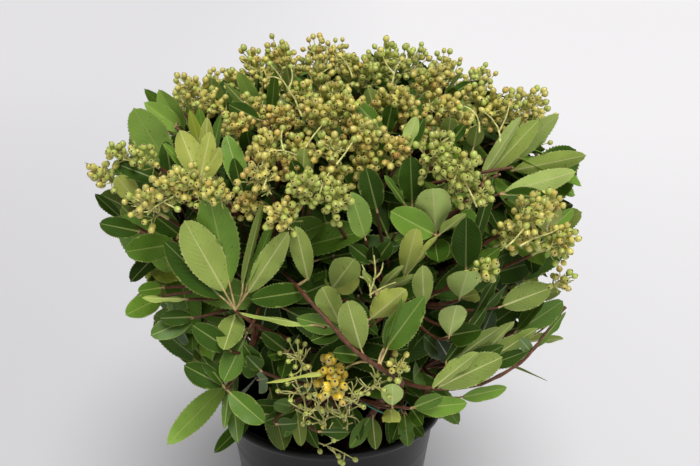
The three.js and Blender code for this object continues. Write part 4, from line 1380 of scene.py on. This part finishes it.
def tie_band():
    """A thin elastic round the stems, with a knot in front and a slack turn out round the nearest stem."""
    form = bar_form(8, TIE["turns"])
    stem_radius = OUTER_STEMS["radius"] * mix(1, LIMB_END_SHARE, TIE["along"])
    reach = OUTER_STEMS["tie"] + stem_radius + TIE["thickness"] / 2 + GAP
    path = []
    for i in range(TIE["turns"] + 1):
        degrees = 360 * i / TIE["turns"] - 90
        sag = 1.2 * math.sin(math.radians(degrees * 2 + 40)) + 0.7 * math.sin(math.radians(degrees * 3))
        path.append(around(reach + 0.8, degrees, TIE["height"] + sag))
    knot = ((-3, -reach - 1, 262), (1, -reach - 3.4, 264), (3, -reach - 2, 260), (-1, -reach - 1, 259),
            (-2, -reach - 4, 263), (2, -reach - 6, 256), (5, -reach - 7, 246))
    turn = ((4, -reach - 1, 262), (8, -66, 268), (11, -84, 281), (16, -108, 292), (25, -128, 297),
            (38, -131, 289), (53, -118, 275), (68, -90, 265), (74, -60, 262), (48, -reach + 22, 262))
    radii = np.full((1, TIE["turns"] + 1), TIE["thickness"] / 2)
    ways = ((path, 1), (rounded(knot, TIE["turns"] + 1), 0.8), (rounded(turn, TIE["turns"] + 1), 0.75))
    points = np.concatenate([bar_points(form, [way], radii * share) for way, share in ways])
    return joined("tie_elastic", [(form, points, bar_map(form))], [tie_finish()])


# The whole bunch
def bars(form, entries, roughness=None):
    """Points of tapered bars from (path, start radius, end radius)."""
    steps = int(form.points[:, 2].max())
    paths = np.array([path for path, _, _ in entries])
    radii = np.array([np.linspace(start, end, steps + 1) for _, start, end in entries])
    return bar_points(form, paths, radii, roughness)


def bars_piece(name, kinds, finish):
    """One piece from some kinds of bar, each kind with its form, its bars and the relief of their bark."""
    parts = [(form, bars(form, entries, relief), bar_map(form)) for form, entries, relief in kinds]
    return joined(name, parts, [finish])


def limbs_piece(name, limbs, sides, steps, finish, draw):
    form = bar_form(sides, steps)
    paths = [evenly(limb["path"], steps + 1) for limb in limbs]
    feet = [limb["radius"] for limb in limbs]
    radii = np.array([np.linspace(foot, foot * LIMB_END_SHARE, steps + 1) for foot in feet])
    points = bar_points(form, paths, radii, bark_relief(form, len(limbs), draw))
    points[:, form.points[:, 2] == 0, 2] = np.array([path[0][2] for path in paths])[:, None]
    return joined(name, [(form, points, bar_map(form))], [finish])


def leaves_pieces(bunch):
    form = leaf_form()
    flat = form.points[:, :2].copy()
    for tone, leaves in bunch.leaves.items():
        yield joined(f"leaves_{tone}", [(form, leaf_points(form, leaves), flat)], leaf_finishes(tone))


def berries_pieces(bunch):
    form = berry_form()
    flat = np.zeros((len(form.points), 2))
    calyx = plain_growth_finish("berry_dry_tips", shade(70, 50, 30), 0.7, 900.0)
    rim = plain_growth_finish("berry_rim", shade(196, 184, 104), 0.5, 900.0)
    for tone, berries in bunch.berries.items():
        parts = [(form, berry_points(form, berries), flat)]
        yield joined(f"berries_{tone}", parts, [berry_skin_finish(tone), calyx, rim])


def berry_stalks(bunch):
    finish = plain_growth_finish("berry_stalk", shade(212, 210, 132), 0.5, 200.0)
    thick, thin = (bunch.fruit_stalks[kind] for kind in ("thick", "thin"))
    return bars_piece("berry_stalks", [(bar_form(5, 4), thick, None), (bar_form(3, 2), thin, None)], finish)


def leaf_stalks(bunch):
    finish = plain_growth_finish("leaf_stalk", shade(184, 160, 108), 0.5, 150.0)
    stalks = [(path, 1.0, 0.75) for path in bunch.petioles]
    return bars_piece("leaf_stalks", [(bar_form(5, 3), stalks, None)], finish)


def twigs(bunch, masses):
    """The masses' shoots, the twigs of the sprays, and the knobbly ones that show bare at the front."""
    finish = plain_growth_finish("twig_bark", shade(98, 58, 38), 0.6, 260.0)
    shoots = [(mass["shoot"], mass["carrier"]["radius"] * LIMB_END_SHARE, 2) for mass in masses]
    knobbly = bar_form(8, 40)
    front = [(rounded(points, 41), start, end) for points, start, end in FRONT_TWIGS]
    knobs = bark_relief(knobbly, len(front), bunch.random, 9)
    kinds = [(bar_form(8, 4), shoots, None), (bar_form(6, 8), bunch.twigs, None), (knobbly, front, knobs)]
    return bars_piece("twigs", kinds, finish)


def ride_with(piece, slot, *nodes):
    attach(piece, "root")
    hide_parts(*nodes)


def make_part():
    ride_with(bucket(), "bucket", "bucket")
    ride_with(water(), "water", "water")
    ride_with(tie_band(), "tie", "tie_band")
    stems, boughs, masses = grow_limbs()
    open_front = [around(OUTER_STEMS["tie"] + 10, degrees, height)
                  for degrees in range(-112, -48, 12) for height in (236, 248, 260)]
    bunch = Bunch(7, open_front)
    bark = bark_finish()
    stem_nodes = [f"stem_{i + 1}" for i in range(len(stems))]
    bough_nodes = [f"bough_{i + 1}" for i in range(len(boughs))]
    ride_with(limbs_piece("stems", stems, 12, 90, bark, bunch.random), "bark", *stem_nodes)
    ride_with(limbs_piece("boughs", boughs, 10, 24, bark, bunch.random), "bark", *bough_nodes)

    add_front_sprays(bunch, masses)
    add_front_heads(bunch, masses)
    add_front_stalks(bunch)
    add_seeded_sprays(bunch, masses, OUTER_SPRAYS, True)
    add_seeded_sprays(bunch, masses, INNER_SPRAYS, False)

    foliage = [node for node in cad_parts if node.startswith("foliage_")]
    for piece in (*leaves_pieces(bunch), *berries_pieces(bunch)):
        ride_with(piece, "foliage", *foliage)
    for piece in (berry_stalks(bunch), leaf_stalks(bunch), twigs(bunch, masses)):
        ride_with(piece, "foliage", *foliage)


# Room, light and camera
def floor():
    work = bmesh.new()
    bmesh.ops.create_grid(work, x_segments=4, y_segments=4, size=14)
    mesh = bpy.data.meshes.new("floor")
    work.to_mesh(mesh)
    work.free()
    finish = Finish("floor_painted_light", Roughness=0.9, **{"Specular IOR Level": 0.1})
    parts = finish.node("ShaderNodeSeparateXYZ", None, {"Vector": finish.place()})
    aside, away = (Signal(finish, parts.outputs[key]) for key in ("X", "Y"))
    # Painted light and shade: the floor is painted darker to the left and towards the front, and lighter to
    # the right and towards the back, as the light falls on it.
    pale = aside.ramp(-0.8, 0.8) * 0.65 + away.ramp(0.1, 3.0) * 0.45 + 0.05
    finish.wear(base_color=finish.blend(pale, shade(208, 208, 214), shade(242, 242, 247)))
    mesh.materials.append(finish.material)
    placed("floor", mesh)


# Lamps: how far each is turned from straight down, its strength and how wide it spreads, in degrees
LAMPS = {"window": ((30, 10, -8), 2.85, 34), "fill": ((62, 0, 24), 0.4, 60)}
CAMERA = {"place": (0.018, -0.963, 0.768), "below_level": 20.6, "lens": 55, "sensor": 36}


def light():
    world = bpy.data.worlds.new("sky")
    bpy.context.scene.world = world
    world.use_nodes = True
    world.node_tree.nodes["Background"].inputs["Color"].default_value = (1, 0.99, 0.97, 1)
    world.node_tree.nodes["Background"].inputs["Strength"].default_value = 0.2
    for name, (turn, energy, spread) in LAMPS.items():
        lamp = bpy.data.lights.new(name, "SUN")
        lamp.energy = energy
        lamp.color = (1, 0.985, 0.95)
        lamp.angle = math.radians(spread)
        lamp_object = bpy.data.objects.new(name, lamp)
        lamp_object.rotation_euler = [math.radians(value) for value in turn]
        bpy.context.scene.collection.objects.link(lamp_object)


def camera():
    lens = bpy.data.cameras.new("camera")
    lens.lens = CAMERA["lens"]
    lens.sensor_width = CAMERA["sensor"]
    body = bpy.data.objects.new("camera", lens)
    pitch = Matrix.Rotation(math.radians(90 - CAMERA["below_level"]), 4, "X")
    body.matrix_world = Matrix.Translation(CAMERA["place"]) @ pitch
    bpy.context.scene.collection.objects.link(body)
    bpy.context.scene.camera = body


make_part()
floor()
light()
camera()
bpy.context.scene.view_settings.view_transform = "Standard"
